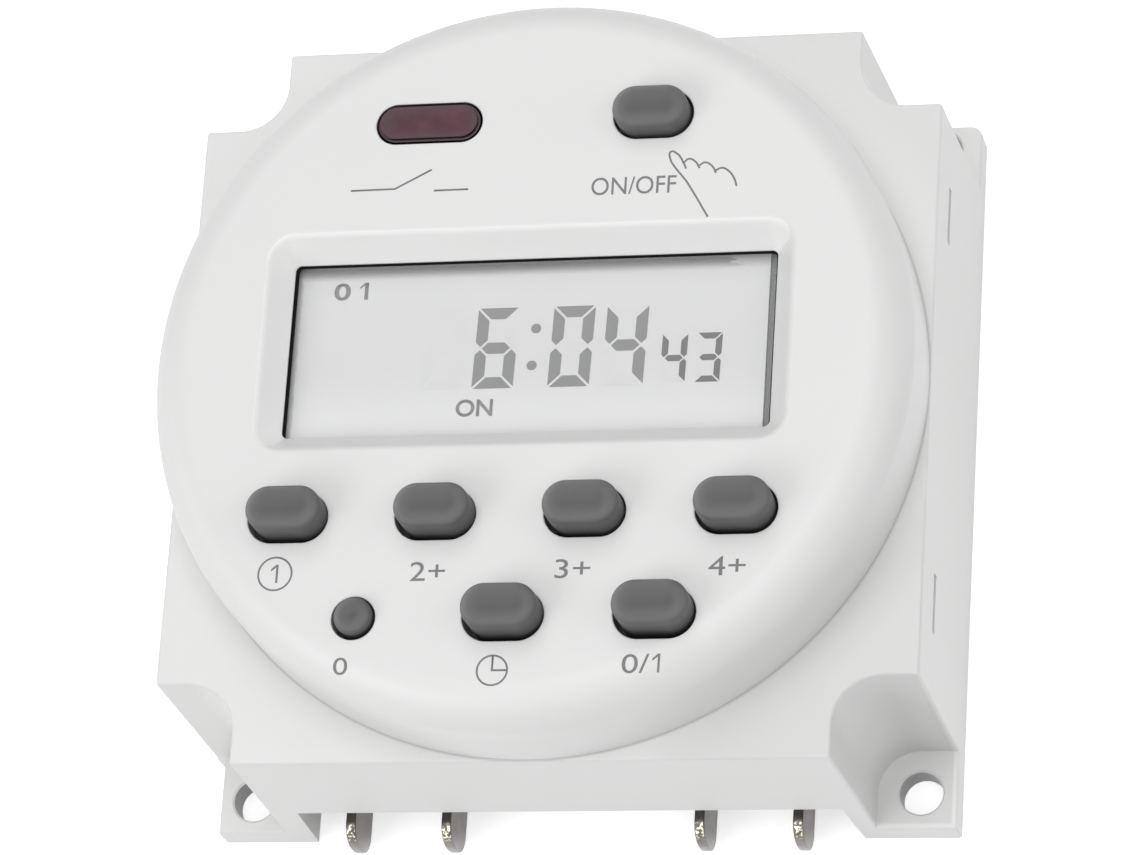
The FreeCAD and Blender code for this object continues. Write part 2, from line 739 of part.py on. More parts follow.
def cutRoofOpenings(body):
    bezel = newSketch(body, "bezel_outline", 0, displayY, faceTop)
    drawRoundedRectangle(bezel, size("bezel_width"), size("bezel_height"), size("bezel_round"))
    pocketDown(body, "bezel", bezel, size("bevel_depth"), slope(size("bevel_inset"), size("bevel_depth")))
    opening = newSketch(body, "opening_outline", 0, displayY, faceTop - size("bevel_depth"))
    drawRoundedRectangle(opening, openingWidth, openingHeight, size("bezel_round") - size("bevel_inset"))
    pocketDown(body, "opening", opening, size("lip_depth") + overlap)
    for node, (x, y) in keyHoles.items():
        outline = keyOutline(node, newSketch(body, node + "_hole_outline", x, y, faceTop), asDim(0))
        pocketDown(body, node + "_hole", outline, size("roof_wall") + overlap)
    lensHole = newSketch(body, "lens_hole_outline", lensPlace[0], lensPlace[1], faceTop)
    drawStadium(lensHole, size("lens_hole_width"), size("lens_hole_height"))
    pocketDown(body, "lens_hole", lensHole, size("roof_wall") + overlap)
    widest = size("bezel_width") + overlap
    roundEdges(body, "opening_edges", size("edge_soften"),
               lambda edge: flatAt(edge, faceTop) and edge.BoundBox.XLength < widest.value)


def cutTerminalRecess(body):
    front = -(halfBody + pastSide)
    sketch = newSketch(body, "recess_outline", 0, (front + recessWallBack) / 2)
    drawRectangle(sketch, pocketCorner * 2, recessWallBack - front)
    pocketUp(body, "recess", sketch, size("recess_height"))


def cutLatchSlots(body):
    slotBottom = size("latch_rise") - size("latch_slot_height") / 2
    for number, (side, along) in enumerate(latchPlaces, start=1):
        sketch = newSketch(body, "latch_slot_outline_%d" % number, (cavityHalf + pastSide) * side,
                           size("latch_place") * along, slotBottom)
        drawRectangle(sketch, (size("side_wall") + pastSide) * 2, size("latch_slot_length"))
        pocketUp(body, "latch_slot_%d" % number, sketch, size("latch_slot_height"))


def makeBackCover():
    body = newBody("cover_body")
    wide = cavityHalf - size("cover_gap")
    foot = recessWallFront
    tongue = pocketCorner + size("terminal_wall_reach")
    plate = newSketch(body, "cover_outline", 0, (wide + foot) / 2)
    pad(body, "cover_plate", drawRectangle(plate, wide * 2, wide - foot), size("cover_thick"))
    cornerOutline = cornerBlock(body, "cover_corner_outline", pocketCorner - size("cover_gap"), cavityHalf,
                                size("notch_round") + size("notch_wall") + size("cover_gap"), asDim(0))
    quarterTurns(body, "cover_corners", pocketUp(body, "cover_corner", cornerOutline,
                                                 size("cover_thick") + overlap))
    wall = newSketch(body, "terminal_wall_outline", 0, (foot + recessWallBack) / 2)
    drawRectangle(wall, tongue * 2, size("terminal_wall_thick"))
    pad(body, "terminal_wall", wall, size("recess_height") - size("cover_gap"))
    for number, x in enumerate(terminalPlaces, start=1):
        slot = newSketch(body, "terminal_slot_outline_%d" % number, x, (foot + recessWallBack) / 2,
                         neckBottom - size("lead_gap"))
        drawRectangle(slot, size("terminal_thick") + size("lead_gap") * 2,
                      size("terminal_wall_thick") + overlap)
        pocketUp(body, "terminal_slot_%d" % number, slot, size("terminal_neck") + size("lead_gap") * 2)
    for number, (x, y) in enumerate(powerPosts, start=1):
        post = newSketch(body, "post_outline_%d" % number, x, y, size("cover_thick") - overlap)
        pad(body, "post_%d" % number, drawCircle(post, size("post_dia")), size("post_height") + overlap)
        bore = newSketch(body, "post_bore_outline_%d" % number, x, y, powerUnder)
        pocketDown(body, "post_bore_%d" % number,
                   drawCircle(bore, size("power_screw_dia") + size("screw_gap") * 2),
                   size("power_screw_grip") + size("screw_gap") * 2)
    addLatches(body, wide)
    return keep("back_cover", body)


def addLatches(body, wide):
    """Four arms from the plate, each with a hook in a slot of the housing's side."""
    armHeight = size("latch_rise") + size("latch_slot_height") / 2 - size("latch_gap")
    hookHeight = size("latch_slot_height") - size("latch_gap") * 2
    armLength = size("latch_slot_length") - size("latch_gap") * 2
    for number, (side, along) in enumerate(latchPlaces, start=1):
        y = size("latch_place") * along
        arm = newSketch(body, "latch_arm_outline_%d" % number, (wide - size("latch_arm_thick") / 2) * side, y)
        pad(body, "latch_arm_%d" % number, drawRectangle(arm, size("latch_arm_thick"), armLength), armHeight)
        root = size("latch_arm_thick") / 2
        middle = wide + (size("latch_hook") - root) / 2
        hook = newSketch(body, "latch_hook_outline_%d" % number, middle * side, y, armHeight - hookHeight)
        pad(body, "latch_hook_%d" % number, drawRectangle(hook, size("latch_hook") + root, armLength),
            hookHeight)


def makeTerminals():
    tip = -(halfBody + size("terminal_proud"))
    shoulder = recessWallFront
    reach = recessWallFront + size("terminal_reach")
    wideTop = size("terminal_lift") + size("terminal_width")
    wideMiddle = size("terminal_lift") + size("terminal_width") / 2
    neckTop = neckBottom + size("terminal_neck")
    tailTop = powerTop + size("lead_proud")
    outline = [
        (tip, wideMiddle - size("terminal_tip") / 2),
        (tip + size("terminal_taper"), size("terminal_lift")),
        (shoulder, size("terminal_lift")),
        (shoulder, neckBottom),
        (reach, neckBottom),
        (reach, tailTop),
        (reach - size("terminal_tail"), tailTop),
        (reach - size("terminal_tail"), neckTop),
        (shoulder, neckTop),
        (shoulder, wideTop),
        (tip + size("terminal_taper"), wideTop),
        (tip, wideMiddle + size("terminal_tip") / 2),
    ]
    for number, x in enumerate(terminalPlaces, start=1):
        body = newBody("terminal_body_%d" % number)
        sketch = newSketch(body, "terminal_outline_%d" % number, z=x - size("terminal_thick") / 2,
                           plane="YZ_Plane")
        pad(body, "terminal_blade_%d" % number, drawOutline(sketch, outline), size("terminal_thick"))
        keep("terminal_%d" % number, body)


def makeKey(node, proud):
    x, y = keyHoles[node]
    body = newBody(node + "_body")
    flangeBottom = roofUnder - size("key_flange_thick")
    capHeight = faceTop - roofUnder + proud
    cap = newSketch(body, node + "_cap_outline", x, y, roofUnder - overlap)
    pad(body, node + "_cap", keyOutline(node, cap, -size("key_gap")), capHeight + overlap)
    capTop = roofUnder + capHeight
    roundEdges(body, node + "_crown", size("key_crown"), lambda edge: flatAt(edge, capTop))
    flange = newSketch(body, node + "_flange_outline", x, y, flangeBottom)
    pad(body, node + "_flange", keyOutline(node, flange, size("key_flange_lip")), size("key_flange_thick"))
    stem = newSketch(body, node + "_stem_outline", x, y, pillTop)
    pad(body, node + "_stem", drawCircle(stem, size("key_stem_dia")), flangeBottom - pillTop + overlap)
    keep(node, body)
    pill = rod(node + "_pill_rod", x, y, pillTop - size("pill_thick"), size("pill_dia"), size("pill_thick"))
    keep(node.replace("_key", "_contact"), pill)


def makeKeypadMat():
    body = newBody("mat_body")
    radius = cavityRadius - size("mat_edge_gap")
    pad(body, "mat_sheet", drawCircle(newSketch(body, "mat_outline", z=logicTop), radius * 2),
        size("mat_thick"))
    ringTop = roofUnder - size("key_flange_thick") - size("key_travel") - size("mat_ring_clear")
    for node, (x, y) in keyHoles.items():
        ring = newSketch(body, node + "_ring_outline", x, y, logicTop)
        pad(body, node + "_ring", drawCircle(ring, size("mat_ring_outer")), ringTop - logicTop)
        bore = newSketch(body, node + "_ring_bore_outline", x, y, logicTop)
        pocketUp(body, node + "_ring_bore", drawCircle(bore, size("key_stem_dia") + size("mat_hole_gap") * 2),
                 ringTop - logicTop + overlap)
    window = newSketch(body, "mat_window_outline", 0, displayY, logicTop)
    drawRectangle(window, frameWidth + size("mat_hole_gap") * 2, frameHeight + size("mat_hole_gap") * 2)
    pocketUp(body, "mat_window", window, size("mat_thick") + overlap)
    holes = [(place, size("logic_boss_dia")) for place in logicBosses]
    holes.append((lensPlace, size("led_dia") + size("led_rim") * 2))
    for number, ((x, y), width) in enumerate(holes, start=1):
        hole = newSketch(body, "mat_hole_outline_%d" % number, x, y, logicTop)
        pocketUp(body, "mat_hole_%d" % number, drawCircle(hole, width + size("mat_hole_gap") * 2),
                 size("mat_thick") + overlap)
    keep("keypad_mat", body)


def makeDisplay():
    gasket = newBody("gasket_body")
    outer = newSketch(gasket, "gasket_outline", 0, displayY, windowTop)
    drawRectangle(outer, openingWidth + size("gasket_border") * 2, openingHeight + size("gasket_border") * 2)
    pad(gasket, "gasket_sheet", outer, size("gasket_thick"))
    inner = newSketch(gasket, "gasket_opening_outline", 0, displayY, windowTop)
    drawRoundedRectangle(inner, openingWidth, openingHeight, size("bezel_round") - size("bevel_inset"))
    pocketUp(gasket, "gasket_opening", inner, size("gasket_thick") + overlap)
    keep("display_gasket", gasket)
    border = size("window_border") * 2
    keep("display_window", block("window_plate", 0, displayY, filmTop, openingWidth + border,
                                 openingHeight + border, size("window_thick")))
    filmWidth = openingWidth + size("film_border") - size("film_strip")
    filmX = -(size("film_border") + size("film_strip")) / 2
    keep("display_film", block("film_sheet", filmX, displayY, frontGlassTop, filmWidth,
                               openingHeight + size("film_border") * 2, size("film_thick")))
    keep("display_front_glass", block("front_glass_plate", 0, displayY, rearGlassTop, glassWidth,
                                      frontGlassHeight, size("glass_thick")))
    keep("display_rear_glass", block("rear_glass_plate", 0, displayY, reflectorTop, glassWidth,
                                     rearGlassHeight, size("glass_thick")))
    trim = size("reflector_trim") * 2
    keep("display_reflector", block("reflector_sheet", 0, displayY, reflectorTop - size("reflector_thick"),
                                    glassWidth - trim, rearGlassHeight - trim, size("reflector_thick")))
    stripOffset = (rearGlassHeight + size("glass_ledge")) / 2
    strips = [block("connector_strip_" + name, 0, displayY + stripOffset * side, logicTop,
                    glassWidth - size("connector_trim") * 2, size("connector_width"),
                    rearGlassTop - logicTop) for side, name in ((1, "upper"), (-1, "lower"))]
    keep("connector_strips", gather("connector_strip_pair", strips))
    frame = newBody("frame_body")
    ring = newSketch(frame, "frame_outline", 0, displayY, logicTop)
    pad(frame, "frame_ring", drawRectangle(ring, frameWidth, frameHeight), frontGlassTop - logicTop)
    well = newSketch(frame, "frame_well_outline", 0, displayY, logicTop)
    gap = size("frame_gap") * 2
    pocketUp(frame, "frame_well", drawRectangle(well, glassWidth + gap, frontGlassHeight + gap),
             frontGlassTop - logicTop + overlap)
    keep("display_frame", frame)


def makeIndicator():
    x, y = lensPlace
    lens = newBody("lens_body")
    hoodTop = faceTop + size("lens_proud")
    shoulderTop = hoodTop - size("lens_step_rise")
    shoulder = newSketch(lens, "lens_shoulder_outline", x, y, roofUnder - overlap)
    inset = size("lens_gap")
    drawStadium(shoulder, size("lens_hole_width") - inset * 2, size("lens_hole_height") - inset * 2)
    pad(lens, "lens_shoulder", shoulder, shoulderTop - roofUnder + overlap)
    hood = newSketch(lens, "lens_hood_outline", x, y, shoulderTop - overlap)
    inset = size("lens_gap") + size("lens_step")
    drawStadium(hood, size("lens_hole_width") - inset * 2, size("lens_hole_height") - inset * 2)
    pad(lens, "lens_hood", hood, size("lens_step_rise") + overlap)
    roundEdges(lens, "lens_crown_round", size("lens_crown"), lambda edge: flatAt(edge, hoodTop))
    flange = newSketch(lens, "lens_flange_outline", x, y, roofUnder - size("lens_flange_thick"))
    drawStadium(flange, size("lens_hole_width") + size("lens_flange_lip") * 2,
                size("lens_hole_height") + size("lens_flange_lip") * 2)
    pad(lens, "lens_flange", flange, size("lens_flange_thick"))
    keep("indicator_lens", lens)
    led = newBody("led_body")
    rim = newSketch(led, "led_rim_outline", x, y, logicTop)
    pad(led, "led_rim_disc", drawCircle(rim, size("led_dia") + size("led_rim") * 2), size("led_rim_thick"))
    bulb = newSketch(led, "led_bulb_outline", x, y, logicTop)
    pad(led, "led_bulb", drawCircle(bulb, size("led_dia")), size("led_height"))
    bulbTop = logicTop + size("led_height")
    roundEdges(led, "led_nose", size("led_nose"), lambda edge: flatAt(edge, bulbTop))
    keep("indicator_led", led)


def drillBoard(name, board, holes, bottom, thick):
    tools = [rod("%s_drill_%d" % (name, number), x, y, bottom - overlap, width, thick + overlap * 2)
             for number, (x, y, width) in enumerate(holes, start=1)]
    return cut(name + "_drilled", board, tools)


def makeLogicBoard():
    thick = size("logic_board_thick")
    disc = rod("logic_disc", 0, 0, logicUnder, (cavityRadius - size("logic_board_gap")) * 2, thick)
    holes = [(x, y, size("logic_screw_dia") + size("lead_gap") * 2) for x, y in logicBosses]
    holes += [(x, y, linkHole) for x, y in linkPlaces]
    keep("logic_board", drillBoard("logic_board", disc, holes, logicUnder, thick))
    screws = []
    for number, (x, y) in enumerate(logicBosses, start=1):
        headBottom = logicUnder - size("logic_screw_head_thick")
        head = rod("logic_screw_head_%d" % number, x, y, headBottom, size("logic_screw_head"),
                   size("logic_screw_head_thick"))
        shank = rod("logic_screw_shank_%d" % number, x, y, headBottom, size("logic_screw_dia"),
                    logicTop - headBottom + size("logic_screw_grip"))
        screws.append(fuse("logic_screw_%d" % number, [head, shank]))
    keep("logic_board_screws", gather("logic_screw_set", screws))
    keep("controller_chip", block("chip_block", 0, size("chip_rise"), logicUnder - size("chip_thick"),
                                  size("chip_width"), size("chip_width"), size("chip_thick")))
    crystalX = size("chip_width") / 2 + size("crystal_dia") * 2
    keep("clock_crystal", rod("crystal_can", crystalX, size("chip_rise") + size("crystal_length") / 2,
                              logicUnder - size("crystal_dia") / 2, size("crystal_dia"),
                              size("crystal_length"), "Y"))
    makeBackupCell()


def makeBackupCell():
    x, y = size("cell_side"), -size("cell_drop")
    cellTop = logicUnder - size("clip_thick")
    cellBottom = cellTop - size("cell_thick")
    keep("backup_cell", rod("cell_can", x, y, cellBottom, size("cell_dia"), size("cell_thick")))
    length = size("cell_dia") / 2 + size("clip_width") / 2 + size("clip_thick") * 2
    legX = x + length - size("clip_width") / 2 - size("clip_thick") / 2
    upper = block("clip_upper", x, y, cellTop, size("clip_width"), size("clip_width"), size("clip_thick"))
    lower = block("clip_lower", x + (length - size("clip_width")) / 2, y, cellBottom - size("clip_thick"),
                  length, size("clip_width"), size("clip_thick"))
    leg = block("clip_leg", legX, y, cellBottom - size("clip_thick"), size("clip_thick"),
                size("clip_width"), size("cell_thick") + size("clip_thick") * 2)
    keep("cell_clips", gather("clip_pair", [upper, fuse("clip_lower_bent", [lower, leg])]))


def makePowerBoard():
    thick = size("power_board_thick")
    plate = block("power_plate", 0, size("power_board_shift"), powerUnder, size("power_board_width"),
                  size("power_board_height"), thick)
    gap = size("lead_gap") * 2
    holes = [(x, y, size("power_screw_dia") + gap) for x, y in powerPosts]
    holes += [(x, y, size("relay_pin_dia") + gap) for x, y in relayPins]
    holes += [(x, y, size("lead_dia") + gap) for x, y in leadPlaces]
    holes += [(x, y, linkHole) for x, y in linkPlaces]
    drilled = drillBoard("power_board", plate, holes, powerUnder, thick)
    tailY = recessWallFront + size("terminal_reach") - size("terminal_tail") / 2
    slots = [block("tail_slot_%d" % number, x, tailY, powerUnder - overlap, size("terminal_thick") + gap,
                   size("terminal_tail") + gap, thick + overlap * 2)
             for number, x in enumerate(terminalPlaces, start=1)]
    keep("power_board", cut("power_board_slotted", drilled, slots))
    screws = []
    for number, (x, y) in enumerate(powerPosts, start=1):
        head = rod("power_screw_head_%d" % number, x, y, powerTop, size("power_screw_head"),
                   size("power_screw_head_thick"))
        shankBottom = powerUnder - size("power_screw_grip")
        shank = rod("power_screw_shank_%d" % number, x, y, shankBottom, size("power_screw_dia"),
                    powerTop + size("power_screw_head_thick") - shankBottom)
        screws.append(fuse("power_screw_%d" % number, [head, shank]))
    keep("power_board_screws", gather("power_screw_set", screws))
    makeLink()


def makeLink():
    pinBottom = powerUnder - size("lead_proud")
    pins = [block("link_pin_%d" % number, x, y, pinBottom, size("link_pin_width"), size("link_pin_width"),
                  logicTop - pinBottom) for number, (x, y) in enumerate(linkPlaces, start=1)]
    keep("link_pins", gather("link_pin_set", pins))
    length = size("link_pin_pitch") * linkCount + size("link_pin_width")
    header = block("link_header_block", linkX, linkY, powerTop, length, size("link_header_width"),
                   size("link_header_height"))
    slots = [block("link_slot_%d" % number, x, y, powerTop - overlap, size("link_pin_width") + slack,
                   size("link_pin_width") + slack, size("link_header_height") + overlap * 2)
             for number, (x, y) in enumerate(linkPlaces, start=1)]
    keep("link_header", cut("link_header_slotted", header, slots))


def makeRelay():
    x, y = relayX, relayY
    wall, fit = size("relay_wall"), size("relay_fit")
    inside = (wall + fit) * 2
    keep("relay_base", block("relay_base_plate", x, y, powerTop, size("relay_length") - inside,
                             size("relay_width") - inside, size("relay_base_thick")))
    shell = block("relay_shell", x, y, powerTop, size("relay_length"), size("relay_width"),
                  size("relay_height"))
    hollow = block("relay_hollow", x, y, powerTop - overlap, size("relay_length") - wall * 2,
                   size("relay_width") - wall * 2, size("relay_height") - wall + overlap)
    keep("relay_case", cut("relay_case_shell", shell, [hollow]))
    foot = block("relay_yoke_foot", x, y, yokeBottom, size("relay_coil_dia"), size("relay_coil_dia"),
                 size("relay_yoke_thick"))
    post = block("relay_yoke_post", hingeX + size("relay_yoke_thick") / 2, y, yokeBottom,
                 size("relay_yoke_thick"), size("relay_coil_dia"), yokeTop - yokeBottom)
    bridge = block("relay_yoke_bridge", (x + hingeX) / 2, y, yokeBottom, hingeX - x,
                   size("relay_coil_dia"), size("relay_yoke_thick"))
    keep("relay_yoke", fuse("relay_yoke_bent", [foot, bridge, post]))
    coilBottom = yokeBottom + size("relay_yoke_thick")
    winding = rod("relay_winding", x, y, coilBottom, size("relay_coil_dia"), size("relay_coil_length"))
    bore = rod("relay_winding_bore", x, y, coilBottom - overlap, size("relay_core_dia") + slack,
               size("relay_coil_length") + overlap * 2)
    keep("relay_coil", cut("relay_coil_bored", winding, [bore]))
    keep("relay_core", rod("relay_core_pin", x, y, coilBottom, size("relay_core_dia"),
                           size("relay_coil_length") + size("relay_fit")))
    armatureFar = x - size("relay_coil_dia") / 2
    armatureNear = hingeX + size("relay_yoke_thick")
    keep("relay_armature", block("relay_armature_plate", (armatureFar + armatureNear) / 2, y, armatureBottom,
                                 armatureNear - armatureFar, size("relay_coil_dia"),
                                 size("relay_armature_thick")))
    pinBottom = powerUnder - size("lead_proud")
    pins = [rod("relay_pin_%d" % number, pinX, pinY, pinBottom, size("relay_pin_dia"), powerTop - pinBottom)
            for number, (pinX, pinY) in enumerate(relayPins, start=1)]
    keep("relay_pins", gather("relay_pin_set", pins))


def axialPart(name, x, y, diameter, length):
    """A wire-ended part lying on the board along X, its bent leads standing on the pads."""
    axisZ = powerTop + size("lead_dia") / 2 + asDim(diameter) / 2
    span = asDim(length) + size("axial_shoulder") * 2
    barrel = rod(name + "_barrel", x - asDim(length) / 2, y, axisZ, diameter, length, "X")
    wire = rod(name + "_wire", x - span / 2, y, axisZ, size("lead_dia"), span, "X")
    legs = [rod("%s_leg_%d" % (name, number), x + span * side / 2, y, powerTop, size("lead_foot_dia"),
                axisZ - powerTop + size("lead_foot_dia") / 2) for number, side in enumerate((-1, 1), start=1)]
    return fuse(name, [barrel, wire] + legs)


def makeSmallParts():
    keep("film_capacitor", block("film_capacitor_box", filmCapX, filmCapY, powerTop, size("film_cap_length"),
                                 size("film_cap_width"), size("film_cap_height")))
    keep("storage_capacitor", rod("storage_can", storageX, storageY, powerTop, size("storage_cap_dia"),
                                  size("storage_cap_height")))
    keep("varistor", rod("varistor_disc", varistorX - size("varistor_thick") / 2, varistorY,
                         powerTop + size("varistor_dia") / 2, size("varistor_dia"), size("varistor_thick"),
                         "X"))
    keep("driver_transistor", block("transistor_block", transistorX, transistorY, powerTop,
                                    size("transistor_width"), size("transistor_thick"),
                                    size("transistor_height")))
    diodes = [axialPart("diode_%d" % number, axialX, axialY - axialStep * number, size("diode_dia"),
                        size("diode_length")) for number in range(4)]
    keep("rectifier_diodes", gather("diode_set", diodes))
    resistors = [axialPart("resistor_%d" % number, axialX, axialY - axialStep * (number + 4),
                           size("resistor_dia"), size("resistor_length")) for number in range(3)]
    keep("resistors", gather("resistor_set", resistors))
    leadBottom = powerUnder - size("lead_proud")
    leads = [rod("lead_%d" % number, x, y, leadBottom, size("lead_dia"), powerTop - leadBottom)
             for number, (x, y) in enumerate(leadPlaces, start=1)]
    keep("component_leads", gather("lead_set", leads))


def checkDocument():
    """Stops the script if any object failed, is empty, or a cut removed nothing."""
    doc.recompute()
    for thing in doc.Objects:
        if "Invalid" in thing.State or "Error" in thing.State:
            raise RuntimeError("%s failed: %s" % (thing.Name, thing.State))
    for thing in doc.findObjects("PartDesign::Pocket"):
        if thing.Shape.Volume >= thing.BaseFeature.Shape.Volume - 1e-6:
            raise RuntimeError("%s cuts nothing" % thing.Name)
    for node, thing in parts.items():
        if thing.Shape.isNull() or not thing.Shape.isValid() or thing.Shape.Volume <= 0:
            raise RuntimeError("%s has no valid solid" % node)


makeHousing()
makeBackCover()
makeTerminals()
for node in keyHoles:
    makeKey(node, size(keyProud.get(node, "key_proud")))
makeKeypadMat()
makeDisplay()
makeIndicator()
makeLogicBoard()
makePowerBoard()
makeRelay()
makeSmallParts()
checkDocument()

os.makedirs("parts", exist_ok=True)
for node, thing in parts.items():
    thing.Shape.exportStep("parts/%s.step" % node)
    print("%-22s %2d solids %10.2f mm3" % (node, len(thing.Shape.Solids), thing.Shape.Volume))
print(len(parts), "sub-parts")
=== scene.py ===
import json
import math

import bmesh
import bpy
from mathutils import Matrix, Vector


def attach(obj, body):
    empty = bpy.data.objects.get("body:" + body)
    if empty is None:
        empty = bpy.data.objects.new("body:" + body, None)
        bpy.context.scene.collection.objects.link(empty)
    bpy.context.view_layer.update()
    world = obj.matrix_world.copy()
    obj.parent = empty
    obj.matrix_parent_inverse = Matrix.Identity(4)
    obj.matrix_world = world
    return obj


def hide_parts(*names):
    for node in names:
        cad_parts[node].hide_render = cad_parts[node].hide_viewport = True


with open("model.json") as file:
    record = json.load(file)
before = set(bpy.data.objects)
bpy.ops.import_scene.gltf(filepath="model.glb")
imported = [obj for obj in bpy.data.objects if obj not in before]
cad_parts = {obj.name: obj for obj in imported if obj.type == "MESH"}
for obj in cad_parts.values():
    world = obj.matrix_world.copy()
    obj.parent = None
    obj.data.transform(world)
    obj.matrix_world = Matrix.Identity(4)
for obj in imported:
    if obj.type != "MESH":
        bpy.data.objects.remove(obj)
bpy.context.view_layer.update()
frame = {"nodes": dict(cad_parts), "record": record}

mm = 0.001
caseBody = "timer_case"
print("frame loaded:", len(frame["nodes"]), "nodes")


# mesh helpers, all in millimetres
def toMesh(bm, name):
    bmesh.ops.remove_doubles(bm, verts=bm.verts, dist=1e-5)
    bmesh.ops.recalc_face_normals(bm, faces=bm.faces)
    mesh = bpy.data.meshes.new(name)
    bm.to_mesh(mesh)
    bm.free()
    piece = bpy.data.objects.new(name, mesh)
    bpy.context.collection.objects.link(piece)
    return piece


def ringPrism(bm, profile, reachX=0.0, reachY=0.0, steps=64, at=(0, 0)):
    # rings of the given radius and height, closed at both ends; its quarters then slide apart
    turn = Matrix.Rotation(math.pi / steps, 4, "Z")
    radius, z = profile[0]
    first = bmesh.ops.create_circle(bm, cap_ends=False, radius=radius, segments=steps,
                                    matrix=Matrix.Translation((0, 0, z)) @ turn)["verts"]
    everyVert = list(first)
    edges = firstEdges = list(dict.fromkeys(edge for vert in first for edge in vert.link_edges))
    for nextRadius, nextZ in profile[1:]:
        made = bmesh.ops.extrude_edge_only(bm, edges=edges)["geom"]
        verts = [item for item in made if isinstance(item, bmesh.types.BMVert)]
        edges = [item for item in made if isinstance(item, bmesh.types.BMEdge)
                 and all(vert in verts for vert in item.verts)]
        grow = nextRadius / radius
        bmesh.ops.scale(bm, vec=(grow, grow, 1), verts=verts)
        bmesh.ops.translate(bm, vec=(0, 0, nextZ - z), verts=verts)
        radius, z = nextRadius, nextZ
        everyVert += verts
    bmesh.ops.edgeloop_fill(bm, edges=firstEdges)
    bmesh.ops.edgeloop_fill(bm, edges=edges)
    for vert in everyVert:
        vert.co.x += math.copysign(reachX, vert.co.x) + at[0]
        vert.co.y += math.copysign(reachY, vert.co.y) + at[1]


def roundOver(radius, top, size, steps=5):
    # profile points of a rounded edge that ends at the height top; size is its reach inward and down
    inward, down = size
    turns = [math.pi / 2 * i / steps for i in range(steps + 1)]
    return [(radius - inward * (1 - math.cos(turn)), top - down + down * math.sin(turn)) for turn in turns]


def addBox(bm, low, high):
    made = bmesh.ops.create_cube(bm, size=1)["verts"]
    size = [high[i] - low[i] for i in range(3)]
    middle = [(high[i] + low[i]) / 2 for i in range(3)]
    bmesh.ops.scale(bm, vec=size, verts=made)
    bmesh.ops.translate(bm, vec=middle, verts=made)
    return made


def boolean(piece, cutter, operation):
    tool = piece.modifiers.new(operation.lower(), "BOOLEAN")
    tool.object = cutter
    tool.operation = operation
    tool.solver = "EXACT"
    graph = bpy.context.evaluated_depsgraph_get()
    made = bpy.data.meshes.new_from_object(piece.evaluated_get(graph))
    piece.modifiers.clear()
    old = piece.data
    piece.data = made
    bpy.data.meshes.remove(old)
    bpy.data.objects.remove(cutter)


def finishPiece(piece, name, body, material, replaced, sharp=32):
    # from millimetres to metres, smooth between sharp edges, then onto its body
    piece.name = name
    piece.data.transform(Matrix.Scale(mm, 4))
    piece.data.shade_smooth()
    piece.data.set_sharp_from_angle(angle=math.radians(sharp))
    even = piece.modifiers.new("even", "WEIGHTED_NORMAL")
    even.keep_sharp = True
    even.weight = 60
    piece.data.materials.clear()
    piece.data.materials.append(material)
    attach(piece, body)
    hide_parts(replaced)


# node helpers: each finds its node tree from the socket or the material that it is given
def maths(operation, *values):
    tree = next(value.id_data for value in values if not isinstance(value, (int, float)))
    node = tree.nodes.new("ShaderNodeMath")
    node.operation = operation
    for socket, value in zip(node.inputs, values):
        if isinstance(value, (int, float)):
            socket.default_value = value
        else:
            tree.links.new(value, socket)
    return node.outputs[0]


def product(first, *others):
    for other in others:
        first = maths("MULTIPLY", first, other)
    return first


def awayFrom(value, middle):
    return maths("ABSOLUTE", maths("SUBTRACT", value, middle))


def between(value, low, high):
    # 0 below low and 1 above high, or the other way round
    node = value.id_data.nodes.new("ShaderNodeMapRange")
    node.interpolation_type = "SMOOTHSTEP"
    node.inputs["From Min"].default_value = low
    node.inputs["From Max"].default_value = high
    value.id_data.links.new(value, node.inputs["Value"])
    return node.outputs["Result"]


def noise(vector, scale, detail):
    node = vector.id_data.nodes.new("ShaderNodeTexNoise")
    node.inputs["Scale"].default_value = scale
    node.inputs["Detail"].default_value = detail
    vector.id_data.links.new(vector, node.inputs["Vector"])
    return node.outputs["Fac"]


def axesOf(material):
    # Object coordinates in metres, whole and as X, Y and Z
    tree = material.node_tree
    whole = tree.nodes.new("ShaderNodeTexCoord").outputs["Object"]
    axes = tree.nodes.new("ShaderNodeSeparateXYZ")
    tree.links.new(whole, axes.inputs["Vector"])
    return (whole, *axes.outputs)


def marked(material, name):
    # an attribute that the mesh carries, from 0 to 1
    node = material.node_tree.nodes.new("ShaderNodeAttribute")
    node.attribute_name = name
    return node.outputs["Fac"]


def overlay(material, amount, colour):
    # a second colour over the first, by the amount that a socket gives
    nodes, links = material.node_tree.nodes, material.node_tree.links
    shader = nodes["Principled BSDF"]
    under = shader.inputs["Base Color"].links[0].from_socket
    mix = nodes.new("ShaderNodeMix")
    mix.data_type = "RGBA"
    mix.inputs["B"].default_value = (*colour, 1)
    links.new(amount, mix.inputs["Factor"])
    links.new(under, mix.inputs["A"])
    links.new(mix.outputs["Result"], shader.inputs["Base Color"])


